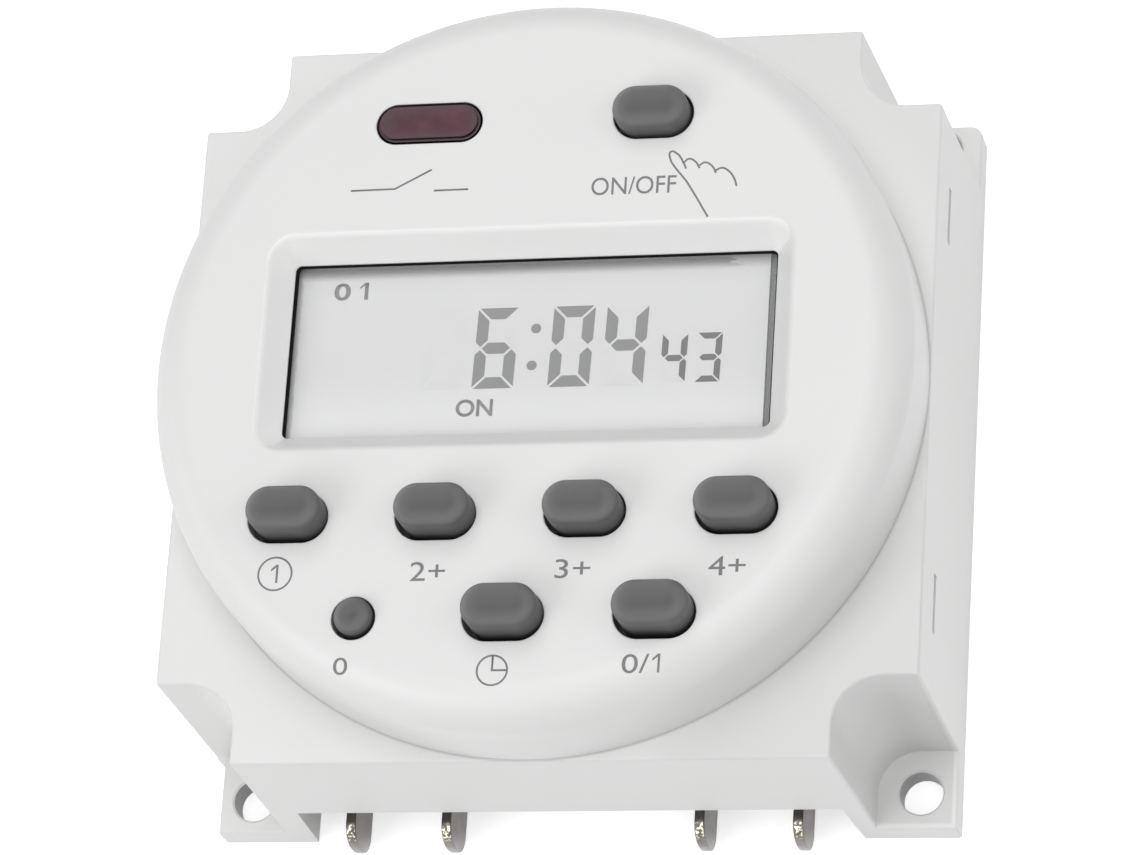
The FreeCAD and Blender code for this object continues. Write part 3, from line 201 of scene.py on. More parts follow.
# materials
def surface(name, colour, rough, metallic=0.0, tint=0.03, tintScale=120, grain=0.0, grainScale=2500,
            grainDepth=0.00002, roughSpread=0.06, **sockets):
    # a mottled colour, a roughness that wanders and a fine moulded grain, all on Object coordinates
    material = bpy.data.materials.new(name)
    material.use_nodes = True
    nodes, links = material.node_tree.nodes, material.node_tree.links
    shader = nodes["Principled BSDF"]
    shader.inputs["Metallic"].default_value = metallic
    for socket, value in sockets.items():
        shader.inputs[socket.replace("_", " ")].default_value = value
    place = nodes.new("ShaderNodeTexCoord").outputs["Object"]
    cloud = noise(place, tintScale, 4)
    ramp = nodes.new("ShaderNodeValToRGB")
    for stop, position, share in zip(ramp.color_ramp.elements, (0.3, 0.7), (1 - tint, 1 + tint)):
        stop.position = position
        stop.color = [min(max(part * share, 0), 1) for part in colour] + [1]
    links.new(cloud, ramp.inputs["Fac"])
    links.new(ramp.outputs["Color"], shader.inputs["Base Color"])
    spread = nodes.new("ShaderNodeMapRange")
    spread.inputs["To Min"].default_value = max(rough - roughSpread, 0.02)
    spread.inputs["To Max"].default_value = min(rough + roughSpread, 1)
    links.new(cloud, spread.inputs["Value"])
    links.new(spread.outputs["Result"], shader.inputs["Roughness"])
    if grain:
        bump = nodes.new("ShaderNodeBump")
        bump.inputs["Strength"].default_value = grain
        bump.inputs["Distance"].default_value = grainDepth
        links.new(noise(place, grainScale, 3), bump.inputs["Height"])
        links.new(bump.outputs["Normal"], shader.inputs["Normal"])
    return material


caseWhite = surface("mouldedWhite", (0.79, 0.79, 0.785), 0.42, tint=0.008, tintScale=60,
                    grain=0.12, grainScale=2600)
coverWhite = surface("coverWhite", (0.76, 0.76, 0.755), 0.46, tint=0.01, tintScale=80, grain=0.15)
keyRubber = surface("keyRubber", (0.122, 0.122, 0.123), 0.55, tint=0.05, tintScale=500,
                    grain=0.2, grainScale=4000)
inkGrey = surface("printedGrey", (0.2, 0.2, 0.2), 0.6, tint=0.08, tintScale=900)
tinPlate = surface("tinPlate", (0.33, 0.32, 0.315), 0.34, metallic=1, tint=0.3, tintScale=700,
                   grain=0.3, grainScale=1800, roughSpread=0.14)
gasketFoam = surface("gasketFoam", (0.006, 0.006, 0.006), 0.9, tint=0.3, tintScale=1500,
                     grain=0.5, Specular_IOR_Level=0.1)
lensRed = surface("lensRed", (0.095, 0.036, 0.048), 0.25, tint=0.25, tintScale=700, Specular_IOR_Level=0.2)
filmGrey = surface("filmGrey", (0.73, 0.73, 0.73), 0.5, tint=0.012, tintScale=160)
segmentGrey = surface("segmentGrey", (0.235, 0.235, 0.235), 0.55, tint=0.04, tintScale=400)
smallSegmentGrey = surface("smallSegmentGrey", (0.12, 0.12, 0.12), 0.55, tint=0.05, tintScale=400)
ghostGrey = surface("ghostGrey", (0.72, 0.72, 0.72), 0.55, tint=0.02, tintScale=400)

# keys: a painted highlight on the rim towards the upper left, darker in the middle of the dish, and painted
# shade down the side
keyShade = {"polished": (0.27, 0.27, 0.272), "dishAndSideShade": (0.01, 0.01, 0.01)}
for markName, markColour in keyShade.items():
    overlay(keyRubber, marked(keyRubber, markName), markColour)

# the lens is greyer towards its edges, and painted shade makes it dark down its sides; these places are in
# metres
lensShade = {"middle": (-0.0084, 0.0188), "redHalf": (0.0022, 0.0041), "redHigh": (0.0004, 0.0013),
             "amount": 0.75, "grey": (0.085, 0.062, 0.072),
             "side": [(0.02924, 0.02918), (0.02895, 0.02899)], "under": (0.02894, 0.0289),
             "dark": (0.006, 0.004, 0.005)}
_, lensX, lensY, lensZ = axesOf(lensRed)
nearEdge = maths("MAXIMUM", between(awayFrom(lensX, lensShade["middle"][0]), *lensShade["redHalf"]),
                 between(awayFrom(lensY, lensShade["middle"][1]), *lensShade["redHigh"]))
overlay(lensRed, product(nearEdge, lensShade["amount"]), lensShade["grey"])
shadedSide = product(*[between(lensZ, *span) for span in lensShade["side"]])
overlay(lensRed, maths("MAXIMUM", shadedSide, between(lensZ, *lensShade["under"])), lensShade["dark"])

# painted shade darkens the walls of the case's holes, and painted light makes two slopes round the display
# paler
caseShade = {"paintedHoleShade": (0.1, 0.1, 0.1), "paintedSlopeLight": (0.88, 0.88, 0.875)}
for markName, markColour in caseShade.items():
    overlay(caseWhite, marked(caseWhite, markName), markColour)
_, caseX, caseY, caseZ = axesOf(caseWhite)

# painted shade: a thin dark line along the foot of the dome
domeFoot = {"radius": 0.02963, "spread": 0.0002, "above": (0.01955, 0.01965), "below": (0.01995, 0.0197),
            "amount": 0.3, "colour": (0.2, 0.2, 0.2)}
fromAxis = maths("POWER", maths("ADD", product(caseX, caseX), product(caseY, caseY)), 0.5)
footShade = product(between(awayFrom(fromAxis, domeFoot["radius"]), domeFoot["spread"], 0.0),
                  between(caseZ, *domeFoot["above"]), between(caseZ, *domeFoot["below"]))
overlay(caseWhite, product(footShade, domeFoot["amount"]), domeFoot["colour"])

# painted shade at the lower right corner, but not down the outer sides, and a painted shadow of the dome on
# the front beside it
cornerShade = {"corner": (0.031, 0.037), "side": (0.02965, 0.02945), "beside": (0.026, 0.0305),
          "above": (0.01955, 0.01965), "below": (0.01985, 0.01972),
          "amount": 0.2, "colour": (0.25, 0.25, 0.25)}
towardsCorner = product(maths("SUBTRACT", caseX, caseY), math.sqrt(0.5))
outermost = maths("MAXIMUM", caseX, product(caseY, -1))
shadedCorner = product(between(towardsCorner, *cornerShade["corner"]), between(outermost, *cornerShade["side"]))
domeShadow = product(between(towardsCorner, *cornerShade["beside"]), between(caseZ, *cornerShade["above"]),
                     between(caseZ, *cornerShade["below"]))
overlay(caseWhite, product(maths("MAXIMUM", shadedCorner, domeShadow), cornerShade["amount"]), cornerShade["colour"])

# painted light: the lower left edge of the dome is a little paler
litDomeEdge = {"span": (0.012, 0.027), "rise": (0.0235, 0.0255), "fall": (0.029, 0.0286),
            "amount": 0.45, "colour": (0.88, 0.88, 0.875)}
towardsLeft = product(maths("ADD", caseX, caseY), -math.sqrt(0.5))
onEdge = product(between(towardsLeft, *litDomeEdge["span"]), between(caseZ, *litDomeEdge["rise"]),
                 between(caseZ, *litDomeEdge["fall"]))
overlay(caseWhite, product(onEdge, litDomeEdge["amount"]), litDomeEdge["colour"])

# tinned tabs: painted shade darkens them in under the case; bright where the plating of the narrow edge is
# rubbed
tabShade = {"lean": 0.39, "under": (-0.0313, -0.0286), "amount": 0.88, "dark": (0.095, 0.083, 0.075),
            "fleckScale": 4600, "fleck": (0.5, 0.58), "rubFrom": (-0.0313, -0.0310),
            "rubTo": (-0.0300, -0.0303), "bright": (0.95, 0.9, 0.72)}
tabWhole, _, tabY, tabZ = axesOf(tinPlate)
shadedUnder = maths("ADD", tabY, product(tabZ, tabShade["lean"]))
overlay(tinPlate, product(between(shadedUnder, *tabShade["under"]), tabShade["amount"]), tabShade["dark"])
flecks = between(noise(tabWhole, tabShade["fleckScale"], 3), *tabShade["fleck"])
alongTab = product(between(tabY, *tabShade["rubFrom"]), between(tabY, *tabShade["rubTo"]))
overlay(tinPlate, product(flecks, marked(tinPlate, "rubbed"), alongTab), tabShade["bright"])

# the film over the liquid crystal: a grey band shows along its top, dragged out at the right end, with a
# painted highlight along its very top; painted shade lies along its left edge; a dark strip stands at the
# right, and the foot is paler
filmShade = {"clear": 0.0072, "full": 0.00805, "lit": (0.0082, 0.0085), "bandEnd": (0.0155, 0.0152),
             "drag": 0.0048, "dragScale": 3000, "dragStretch": (0.12, 1, 1), "pastEnd": 0.42,
             "left": (-0.01855, -0.01875), "leftShare": 0.4, "right": (0.01822, 0.01828),
             "ragged": 0.0004, "raggedScale": 1500, "footFrom": (0.0, -0.0065), "foot": (0.86, 0.86, 0.86),
             "bandGrey": (0.28, 0.28, 0.28), "topHighlight": (0.75, 0.75, 0.75), "strip": (0.2, 0.2, 0.2)}
filmWhole, filmX, filmY, _ = axesOf(filmGrey)
alongEdge = filmGrey.node_tree.nodes.new("ShaderNodeMapping")
alongEdge.inputs["Scale"].default_value = filmShade["dragStretch"]
filmGrey.node_tree.links.new(filmWhole, alongEdge.inputs["Vector"])
streak = maths("SUBTRACT", noise(alongEdge.outputs["Vector"], filmShade["dragScale"], 4), 0.5)
waver = maths("SUBTRACT", noise(filmWhole, filmShade["raggedScale"], 4), 0.5)
draggedX = maths("ADD", filmX, product(streak, filmShade["drag"]))
tornX = maths("ADD", filmX, product(waver, filmShade["ragged"]))
share = maths("ADD", product(between(draggedX, *filmShade["bandEnd"]), 1 - filmShade["pastEnd"]),
              filmShade["pastEnd"])
topBand = product(between(filmY, filmShade["clear"], filmShade["full"]), share)
# painted shade along the left edge
leftShade = product(between(tornX, *filmShade["left"]), filmShade["leftShare"])
overlay(filmGrey, between(filmY, *filmShade["footFrom"]), filmShade["foot"])
overlay(filmGrey, maths("MAXIMUM", topBand, leftShade), filmShade["bandGrey"])
# a painted highlight along the very top edge
overlay(filmGrey, between(filmY, *filmShade["lit"]), filmShade["topHighlight"])
overlay(filmGrey, between(tornX, *filmShade["right"]), filmShade["strip"])

# every other node gets the finish of its own slot
slotFinishes = {
    "board_green": dict(colour=(0.02, 0.12, 0.05), rough=0.35, tint=0.15, tintScale=300),
    "board_brown": dict(colour=(0.34, 0.19, 0.06), rough=0.5, tint=0.12, tintScale=500, grain=0.2),
    "screw_steel": dict(colour=(0.55, 0.55, 0.56), rough=0.35, metallic=1, tint=0.08),
    "chip_black": dict(colour=(0.015, 0.015, 0.016), rough=0.55, tint=0.2, grain=0.3),
    "can_steel": dict(colour=(0.6, 0.6, 0.6), rough=0.3, metallic=1, tint=0.08),
    "cell_steel": dict(colour=(0.66, 0.66, 0.64), rough=0.22, metallic=1, tint=0.06),
    "clip_steel": dict(colour=(0.6, 0.59, 0.56), rough=0.35, metallic=1, tint=0.1),
    "header_black": dict(colour=(0.02, 0.02, 0.02), rough=0.5, tint=0.2),
    "pin_brass": dict(colour=(0.7, 0.52, 0.2), rough=0.3, metallic=1, tint=0.08),
    "tinned_pin": dict(colour=(0.6, 0.6, 0.58), rough=0.35, metallic=1, tint=0.1),
    "relay_black": dict(colour=(0.02, 0.02, 0.022), rough=0.5, tint=0.2, grain=0.2),
    "relay_shell": dict(colour=(0.02, 0.035, 0.16), rough=0.4, tint=0.1, grain=0.2),
    "relay_iron": dict(colour=(0.5, 0.5, 0.49), rough=0.4, metallic=1, tint=0.08),
    "coil_copper": dict(colour=(0.6, 0.22, 0.08), rough=0.35, metallic=0.8, tint=0.15, tintScale=1500),
    "capacitor_box": dict(colour=(0.5, 0.2, 0.03), rough=0.3, tint=0.06),
    "capacitor_can": dict(colour=(0.02, 0.025, 0.05), rough=0.3, tint=0.1),
    "varistor_blue": dict(colour=(0.01, 0.04, 0.22), rough=0.35, tint=0.15, grain=0.3),
    "diode_black": dict(colour=(0.02, 0.02, 0.02), rough=0.4, tint=0.2),
    "resistor_body": dict(colour=(0.26, 0.4, 0.34), rough=0.45, tint=0.08),
    "silicone": dict(colour=(0.5, 0.51, 0.5), rough=0.6, tint=0.05, grain=0.2),
    "carbon_pill": dict(colour=(0.01, 0.01, 0.01), rough=0.8, tint=0.3, grain=0.4),
    "connector_rubber": dict(colour=(0.28, 0.28, 0.33), rough=0.7, tint=0.2, tintScale=2500),
    "frame_plastic": dict(colour=(0.7, 0.7, 0.69), rough=0.5, tint=0.02, grain=0.15),
    "reflector_film": dict(colour=(0.62, 0.63, 0.62), rough=0.4, metallic=0.6, tint=0.03),
    "display_glass": dict(colour=(0.62, 0.66, 0.64), rough=0.08, tint=0.02, Alpha=0.35),
    "clear_window": dict(colour=(0.8, 0.82, 0.82), rough=0.08, tint=0.01, Alpha=0.06),
    "led_red": dict(colour=(0.5, 0.02, 0.015), rough=0.2, tint=0.1),
}
finishes = {"housing_white": caseWhite, "cover_white": coverWhite, "key_grey": keyRubber,
            "tab_tinned": tinPlate, "gasket_foam": gasketFoam, "lens_red": lensRed, "polariser": filmGrey}
for slotName, values in slotFinishes.items():
    finishes[slotName] = surface(slotName + "Finish", **values)
for entry in frame["record"]["subparts"]:
    nodeMesh = frame["nodes"][entry["node"]].data
    nodeMesh.materials.clear()
    nodeMesh.materials.append(finishes[entry["material_slot"]])
print("materials made:", len(bpy.data.materials))


# housing
housing = {
    # the square body, which tapers towards its front, and its notched corners
    "half": 30.0, "front": 19.7, "frontHalf": 29.725, "soften": 0.25, "softenAngle": 35,
    "notchCentre": 27.05, "notchRound": 3.8, "notchRoundLow": 3.317, "notchOut": 6,
    "domeRadius": 29.6, "domeTop": 29.0, "domeRound": 3.3,
    # the hollow, the collar under the display opening and the bosses of the board
    "cavityHalf": 28.3, "cavityTop": 17.9, "cornerRound": 5.3, "domeCavity": 27.7, "roofUnder": 27.0,
    "collarRound": 2.2, "collarOut": 1.3, "collarUnder": 26.55,
    "bosses": [(19, 16), (-19, 16), (17.8, -18.4), (-17.8, -18.4)], "bossRadius": 1.7, "bossFoot": 22.0,
    # the display opening and its slopes, which end in an eased edge: steps outward and down
    "displayY": 1.13, "bezelX": 18.45, "bezelY": 6.7, "bezelTop": 2.2, "bezelLow": 0.5,
    "bezelEase": [(-0.35, 0.365), (-0.21, 0.205), (-0.07, 0.091), (0.07, 0.023), (0.22, 0)],
    "bezelFoot": 25.5, "lipTop": 26.7, "lipLeft": -0.1, "lipBottom": 0.1, "slopeTop": 28.95,
    # the holes of the keys and of the lens: radius and half of the straight part
    "keyHole": (2.04, 1.15), "roundHole": (1.74, 0), "lensHole": (1.725, 2.55),
    "edge": 0.1, "tight": 0.05, "holeFoot": 26.0,
    "keys": {"program_key": (-17.25, -13.27), "plus_key_1": (-5.75, -13.27), "plus_key_2": (5.75, -13.27),
             "plus_key_3": (17.25, -13.27), "clear_key": (-11.5, -21.35), "clock_key": (0, -21.32),
             "select_key": (11.5, -21.32), "manual_key": (9.15, 18.95)},
    "lens": (-8.56, 18.94),
    # the ears: each hole, the corner of the two upper ones and the side of the lower left one
    "earTop": 2.4, "earHoles": [(26.68, 27.0), (-27.1, 27.1), (-26.5, -27.25), (27.1, -27.1)],
    "earHoleRadius": 1.7, "earHoleEdge": 0.15, "earSide": -29.2, "earEnd": 29.0, "earFoot": 23.72,
    "earFrom": 24.0, "earTrimTop": 2.9, "earCorner": 1.0, "earBlock": 10, "earOut": 30.02,
    # painted shade on the hole walls, and which faces count as walls or as the display's slopes
    "earHoleShade": 0.62, "keyHoleShade": 0.7, "lensHoleShade": 1, "wallTilt": 0.2, "wallNear": 0.02,
    "slopeTilt": (0.1, 0.98), "slopeFacing": 0.3,
    # the recess round the tabs, under a shelf, and the slots in the sides
    "recessEnds": (-21.29, 21.95), "recessDraft": 0.85, "recessFlare": (-0.39, 0.57),
    "recessBack": -22.6, "recessHigh": 6.8, "recessRoof": 8.0, "shelfHalf": 26, "shelfWall": 0.15,
    "slots": [(side, y) for side in (-1, 1) for y in (-15.9, 15.9)],
    "slotEnds": (-2.5, 2.15), "slotHeights": (14.45, 15.35), "slotDepths": (26, 32),
    # cutters reach past what they cut, out to here
    "outside": 31,
}
h = housing


def holeOf(name):
    return h["roundHole"] if name == "clear_key" else h["keyHole"]


def cornerPrisms(bm, profile, steps):
    # one at each corner of the case, its nearest quarter centred on the notch
    for sx, sy in ((1, 1), (-1, 1), (-1, -1), (1, -1)):
        ringPrism(bm, profile, h["notchOut"], h["notchOut"], steps,
                  (sx * (h["notchCentre"] + h["notchOut"]), sy * (h["notchCentre"] + h["notchOut"])))


bm = bmesh.new()
cube = addBox(bm, (-h["half"], -h["half"], 0), (h["half"], h["half"], h["front"]))
taper = h["frontHalf"] / h["half"]
bmesh.ops.scale(bm, vec=(taper, taper, 1), verts=[vert for vert in cube if vert.co.z > 1])
shell = toMesh(bm, "shell")

bm = bmesh.new()
cornerPrisms(bm, [(h["notchRoundLow"], h["earTop"]), (h["notchRound"], h["front"]),
                  (h["notchRound"] + 0.2, 22)], 64)
boolean(shell, toMesh(bm, "notches"), "DIFFERENCE")

# all outer edges are softened, but for those round the back face
bm = bmesh.new()
bm.from_mesh(shell.data)
bmesh.ops.remove_doubles(bm, verts=bm.verts, dist=1e-4)
bmesh.ops.dissolve_limit(bm, angle_limit=math.radians(1), verts=bm.verts, edges=bm.edges)
sharpEdges = [edge for edge in bm.edges if len(edge.link_faces) == 2 and edge.is_convex
              and edge.calc_face_angle(0) > math.radians(h["softenAngle"])
              and max(vert.co.z for vert in edge.verts) > 2]
bmesh.ops.bevel(bm, geom=sharpEdges, offset=h["soften"], offset_type="OFFSET", segments=3, profile=0.5,
                affect="EDGES", clamp_overlap=True, material=-1)
bm.to_mesh(shell.data)
bm.free()

bm = bmesh.new()
domeEdge = roundOver(h["domeRadius"], h["domeTop"], (h["domeRound"], h["domeRound"]), 18)
ringPrism(bm, [(h["domeRadius"], h["front"] - 1.0)] + domeEdge, steps=288)
boolean(shell, toMesh(bm, "dome"), "UNION")

bm = bmesh.new()
addBox(bm, (-h["cavityHalf"], -h["cavityHalf"], -1), (h["cavityHalf"], h["cavityHalf"], h["cavityTop"]))
cavity = toMesh(bm, "cavity")
bm = bmesh.new()
cornerPrisms(bm, [(h["cornerRound"], -2), (h["cornerRound"], 25)], 48)
addBox(bm, (-h["shelfHalf"], -h["outside"], h["recessHigh"]),
       (h["shelfHalf"], h["recessBack"] + h["shelfWall"], h["recessRoof"]))
boolean(cavity, toMesh(bm, "cavityCorners"), "DIFFERENCE")
boolean(shell, cavity, "DIFFERENCE")
bm = bmesh.new()
ringPrism(bm, [(h["domeCavity"], h["cavityTop"] - 0.5), (h["domeCavity"], h["roofUnder"])], steps=128)
boolean(shell, toMesh(bm, "domeCavity"), "DIFFERENCE")
print("shell hollowed")

bm = bmesh.new()
inRoof = h["roofUnder"] + 0.5
ringPrism(bm, [(h["collarRound"], h["collarUnder"]), (h["collarRound"], inRoof)],
          h["bezelX"] + h["collarOut"], h["bezelY"] + h["collarOut"], 32, (0, h["displayY"]))
for at in h["bosses"]:
    ringPrism(bm, [(h["bossRadius"], h["bossFoot"]), (h["bossRadius"], inRoof)], steps=32, at=at)
boolean(shell, toMesh(bm, "roofDetails"), "UNION")


def flaredHole(bm, hole, at):
    # a hole through the roof, its upper edge eased outward
    radius = hole[0] - h["tight"]
    eased = roundOver(radius, h["domeTop"], (-h["edge"], h["edge"]), 4)
    ringPrism(bm, [(radius, h["holeFoot"])] + eased + [(radius + h["edge"], h["domeTop"] + 0.5)],
              hole[1], 0, 64, at)


bm = bmesh.new()
bezelProfile = [(h["bezelLow"], h["bezelFoot"]), (h["bezelLow"], h["lipTop"])]
bezelProfile += [(h["bezelTop"] + out, h["domeTop"] - down) for out, down in h["bezelEase"]]
bezelProfile.append((bezelProfile[-1][0], h["domeTop"] + 0.5))
ringPrism(bm, bezelProfile, h["bezelX"], h["bezelY"], 64, (0, h["displayY"]))
# the lip stands a little nearer at the bottom and a little further out at the left
lipVerts = [vert for vert in bm.verts if vert.co.z < h["lipTop"] + 0.1]
bmesh.ops.translate(bm, vec=(h["lipLeft"], 0, 0), verts=[vert for vert in lipVerts if vert.co.x < 0])
bmesh.ops.translate(bm, vec=(0, h["lipBottom"], 0),
                    verts=[vert for vert in lipVerts if vert.co.y < h["displayY"]])
for name, at in h["keys"].items():
    flaredHole(bm, holeOf(name), at)
flaredHole(bm, h["lensHole"], h["lens"])
for side, y in h["slots"]:
    inner, outer = sorted(side * depth for depth in h["slotDepths"])
    addBox(bm, (inner, y + h["slotEnds"][0], h["slotHeights"][0]),
           (outer, y + h["slotEnds"][1], h["slotHeights"][1]))
recess = addBox(bm, (h["recessEnds"][0], -h["outside"] - 1, -1),
                (h["recessEnds"][1], h["recessBack"], h["recessHigh"]))
for vert in recess:
    if vert.co.y < -h["half"] and vert.co.z > 0:
        vert.co.z += h["recessDraft"]
    if vert.co.z < 0:
        vert.co.x += h["recessFlare"][vert.co.x > 0]
wide = h["earHoleRadius"] + h["earHoleEdge"]
for at in h["earHoles"]:
    ringPrism(bm, [(h["earHoleRadius"], -1), (h["earHoleRadius"], h["earTop"] - h["earHoleEdge"]),
                   (wide, h["earTop"]), (wide, h["earTop"] + 0.6)], steps=48, at=at)
boolean(shell, toMesh(bm, "openings"), "DIFFERENCE")

# the upper ears end short of the case, at a rounded corner; the lower left one is narrower
bm = bmesh.new()
for side in (1, -1):
    inner, outer = sorted((side * h["earFoot"], side * h["outside"]))
    addBox(bm, (inner, h["earFrom"], -1), (outer, h["outside"], h["earTrimTop"]))
trimmer = toMesh(bm, "earTrim")
bm = bmesh.new()
straight = h["earBlock"] - h["earCorner"]
for side in (1, -1):
    ringPrism(bm, [(h["earCorner"], -2), (h["earCorner"], 4)], straight, straight, 48,
              (side * (h["earOut"] - h["earBlock"]), h["earEnd"] - h["earBlock"]))
boolean(trimmer, toMesh(bm, "earInside"), "DIFFERENCE")
boolean(shell, trimmer, "DIFFERENCE")
bm = bmesh.new()
addBox(bm, (-h["outside"], -h["outside"], -1), (h["earSide"], -h["earFoot"], h["earTrimTop"]))
boolean(shell, toMesh(bm, "earSideTrim"), "DIFFERENCE")

# painted shade on the walls of the holes, and painted light that makes the upper and left slopes
# round the display paler
holes = [(at, (h["earHoleRadius"], 0), h["earHoleShade"]) for at in h["earHoles"]]
holes += [(at, holeOf(name), h["keyHoleShade"]) for name, at in h["keys"].items()]
holes.append((h["lens"], h["lensHole"], h["lensHoleShade"]))
paintedHoleShade = shell.data.attributes.new("paintedHoleShade", "FLOAT", "CORNER")
paintedSlopeLight = shell.data.attributes.new("paintedSlopeLight", "FLOAT", "CORNER")
for polygon in shell.data.polygons:
    x, y, z = polygon.center
    tiltX, tiltY, tiltZ = polygon.normal
    shade = 0
    # painted shade on the walls of the holes
    if abs(tiltZ) < h["wallTilt"]:
        for (holeX, holeY), (radius, reach), amount in holes:
            if math.hypot(max(abs(x - holeX) - reach, 0), y - holeY) < radius + h["wallNear"]:
                shade = amount
    inBezel = abs(x) < h["bezelX"] + h["bezelTop"] and abs(y - h["displayY"]) < h["bezelY"] + h["bezelTop"]
    onSlope = inBezel and h["lipTop"] < z < h["slopeTop"] and h["slopeTilt"][0] < tiltZ < h["slopeTilt"][1]
    # painted light on the upper and left slopes
    facing = onSlope and (tiltY < -h["slopeFacing"] or tiltX > h["slopeFacing"])
    for loop in polygon.loop_indices:
        paintedHoleShade.data[loop].value = shade
        paintedSlopeLight.data[loop].value = 1 if facing else 0
finishPiece(shell, "housingShell", caseBody, caseWhite, "housing", sharp=28)
print("housing made:", len(shell.data.polygons), "faces")


# keys
keyShape = {
    "gap": 0.27, "crown": (0.95, 0.62), "usualProud": 2.6, "proud": {"manual_key": 1.95, "clear_key": 0.95},
    # the keypad holds no key quite in the middle of its hole
    "sit": {"program_key": (0.19, 0.06), "plus_key_1": (0.2, 0.04), "plus_key_2": (0.12, 0),
            "plus_key_3": (0.06, 0.03), "clock_key": (0.17, 0.08), "select_key": (0.1, 0.13),
            "clear_key": (0.08, 0.02), "manual_key": (0, 0)},
    "dish": 0.08, "sideRings": (0, 0.35, 0.7), "sideTop": 0.3,
    # how dark the middle of the dish is and the painted shade down the side,
    # and how bright the painted highlight on the rim towards the upper left is
    "darkDish": 0.36, "darkDishReach": 0.8, "sideShade": 0.88, "lowSideShade": 0.5, "sideFade": 0.7,
    "highlightAmount": 0.8, "highlightLean": 0.45, "highlightReach": 1.1, "highlightFrom": 0.3, "highlightSpan": 0.6,
    "flangeLip": 0.6, "flangeThick": 0.8, "flangeTop": 27.0, "stem": 1.4, "stemFoot": 23.5,
}


def clamp(value):
    return min(max(value, 0), 1)


def makeKey(name):
    k = keyShape
    face = housing["domeTop"]
    hole, reach = holeOf(name)
    top = face + k["proud"].get(name, k["usualProud"])
    radius = hole - k["gap"]
    flat = radius - k["crown"][0]
    flange = hole + k["flangeLip"]
    under = k["flangeTop"] - k["flangeThick"]
    profile = [(flange, under), (flange, k["flangeTop"]), (radius, k["flangeTop"])]
    profile += [(radius, face + share * (top - k["crown"][1] - face)) for share in k["sideRings"]]
    profile += roundOver(radius, top, k["crown"], 12)
    # the top is a shallow dish for the fingertip
    profile += [(flat * (1 - i / 6) + 0.01, top - k["dish"] * math.sin(math.pi / 2 * i / 6) ** 2)
                for i in range(1, 7)]
    at = [housing["keys"][name][i] + k["sit"][name][i] for i in range(2)]
    bm = bmesh.new()
    ringPrism(bm, profile, reach, 0, 64, at)
    ringPrism(bm, [(k["stem"], k["stemFoot"]), (k["stem"], under)], steps=32, at=at)
    key = toMesh(bm, name + "Cap")
    dishAndSideShade = key.data.attributes.new("dishAndSideShade", "FLOAT", "POINT")
    polished = key.data.attributes.new("polished", "FLOAT", "POINT")
    sideTop = top - k["crown"][1] * k["sideTop"]
    side = k["lowSideShade"] if name == "manual_key" else k["sideShade"]
    for index, vert in enumerate(key.data.vertices):
        fromMiddle = vert.co.x - at[0]
        acrossX = math.copysign(max(abs(fromMiddle) - reach, 0), fromMiddle)
        acrossY = vert.co.y - at[1]
        out = math.hypot(acrossX, acrossY) / radius
        # darker in the middle of the dish, and painted shade down the side, darkest at the face
        down = clamp((sideTop - vert.co.z) / (sideTop - face))
        darkDish = k["darkDish"] * max(1 - (out / k["darkDishReach"]) ** 2, 0)
        dishAndSideShade.data[index].value = darkDish + side * down ** k["sideFade"]
        # a painted highlight on the rim towards the upper left
        facing = max(k["highlightLean"] * acrossY - acrossX, 0) / (k["highlightReach"] * radius)
        polished.data[index].value = k["highlightAmount"] * facing * clamp((out - k["highlightFrom"]) / k["highlightSpan"])
    finishPiece(key, name + "Cap", name + "_body", keyRubber, name, sharp=40)


for keyName in housing["keys"]:
    makeKey(keyName)
print("keys made")


# indicator lens
lensShape = {"flange": 2.425, "flangeLow": 26.2, "flangeTop": 27.0, "shoulder": 1.505, "shoulderTop": 28.95,
             "shoulderRound": (0.04, 0.04), "hood": 1.335, "top": 29.31, "crown": (0.08, 0.08)}
bm = bmesh.new()
lensProfile = [(lensShape["flange"], lensShape["flangeLow"]), (lensShape["flange"], lensShape["flangeTop"]),
               (lensShape["shoulder"], lensShape["flangeTop"])]
lensProfile += roundOver(lensShape["shoulder"], lensShape["shoulderTop"], lensShape["shoulderRound"], 2)
lensProfile += [(lensShape["hood"], lensShape["shoulderTop"])]
lensProfile += roundOver(lensShape["hood"], lensShape["top"], lensShape["crown"], 4)
ringPrism(bm, lensProfile, housing["lensHole"][1], 0, 64, housing["lens"])
finishPiece(toMesh(bm, "lens"), "indicatorLens", caseBody, lensRed, "indicator_lens")
print("lens made")


# display window
window = {"halfX": 20.05, "halfY": 8.3, "low": 25.8, "top": 26.25, "edge": 0.08}
bm = bmesh.new()
addBox(bm, (-window["halfX"], housing["displayY"] - window["halfY"], window["low"]),
       (window["halfX"], housing["displayY"] + window["halfY"], window["top"]))
bmesh.ops.bevel(bm, geom=bm.edges[:], offset=window["edge"], segments=2, profile=0.5, affect="EDGES",
                material=-1)
finishPiece(toMesh(bm, "window"), "clearWindow", caseBody, finishes["clear_window"],
            "display_window")


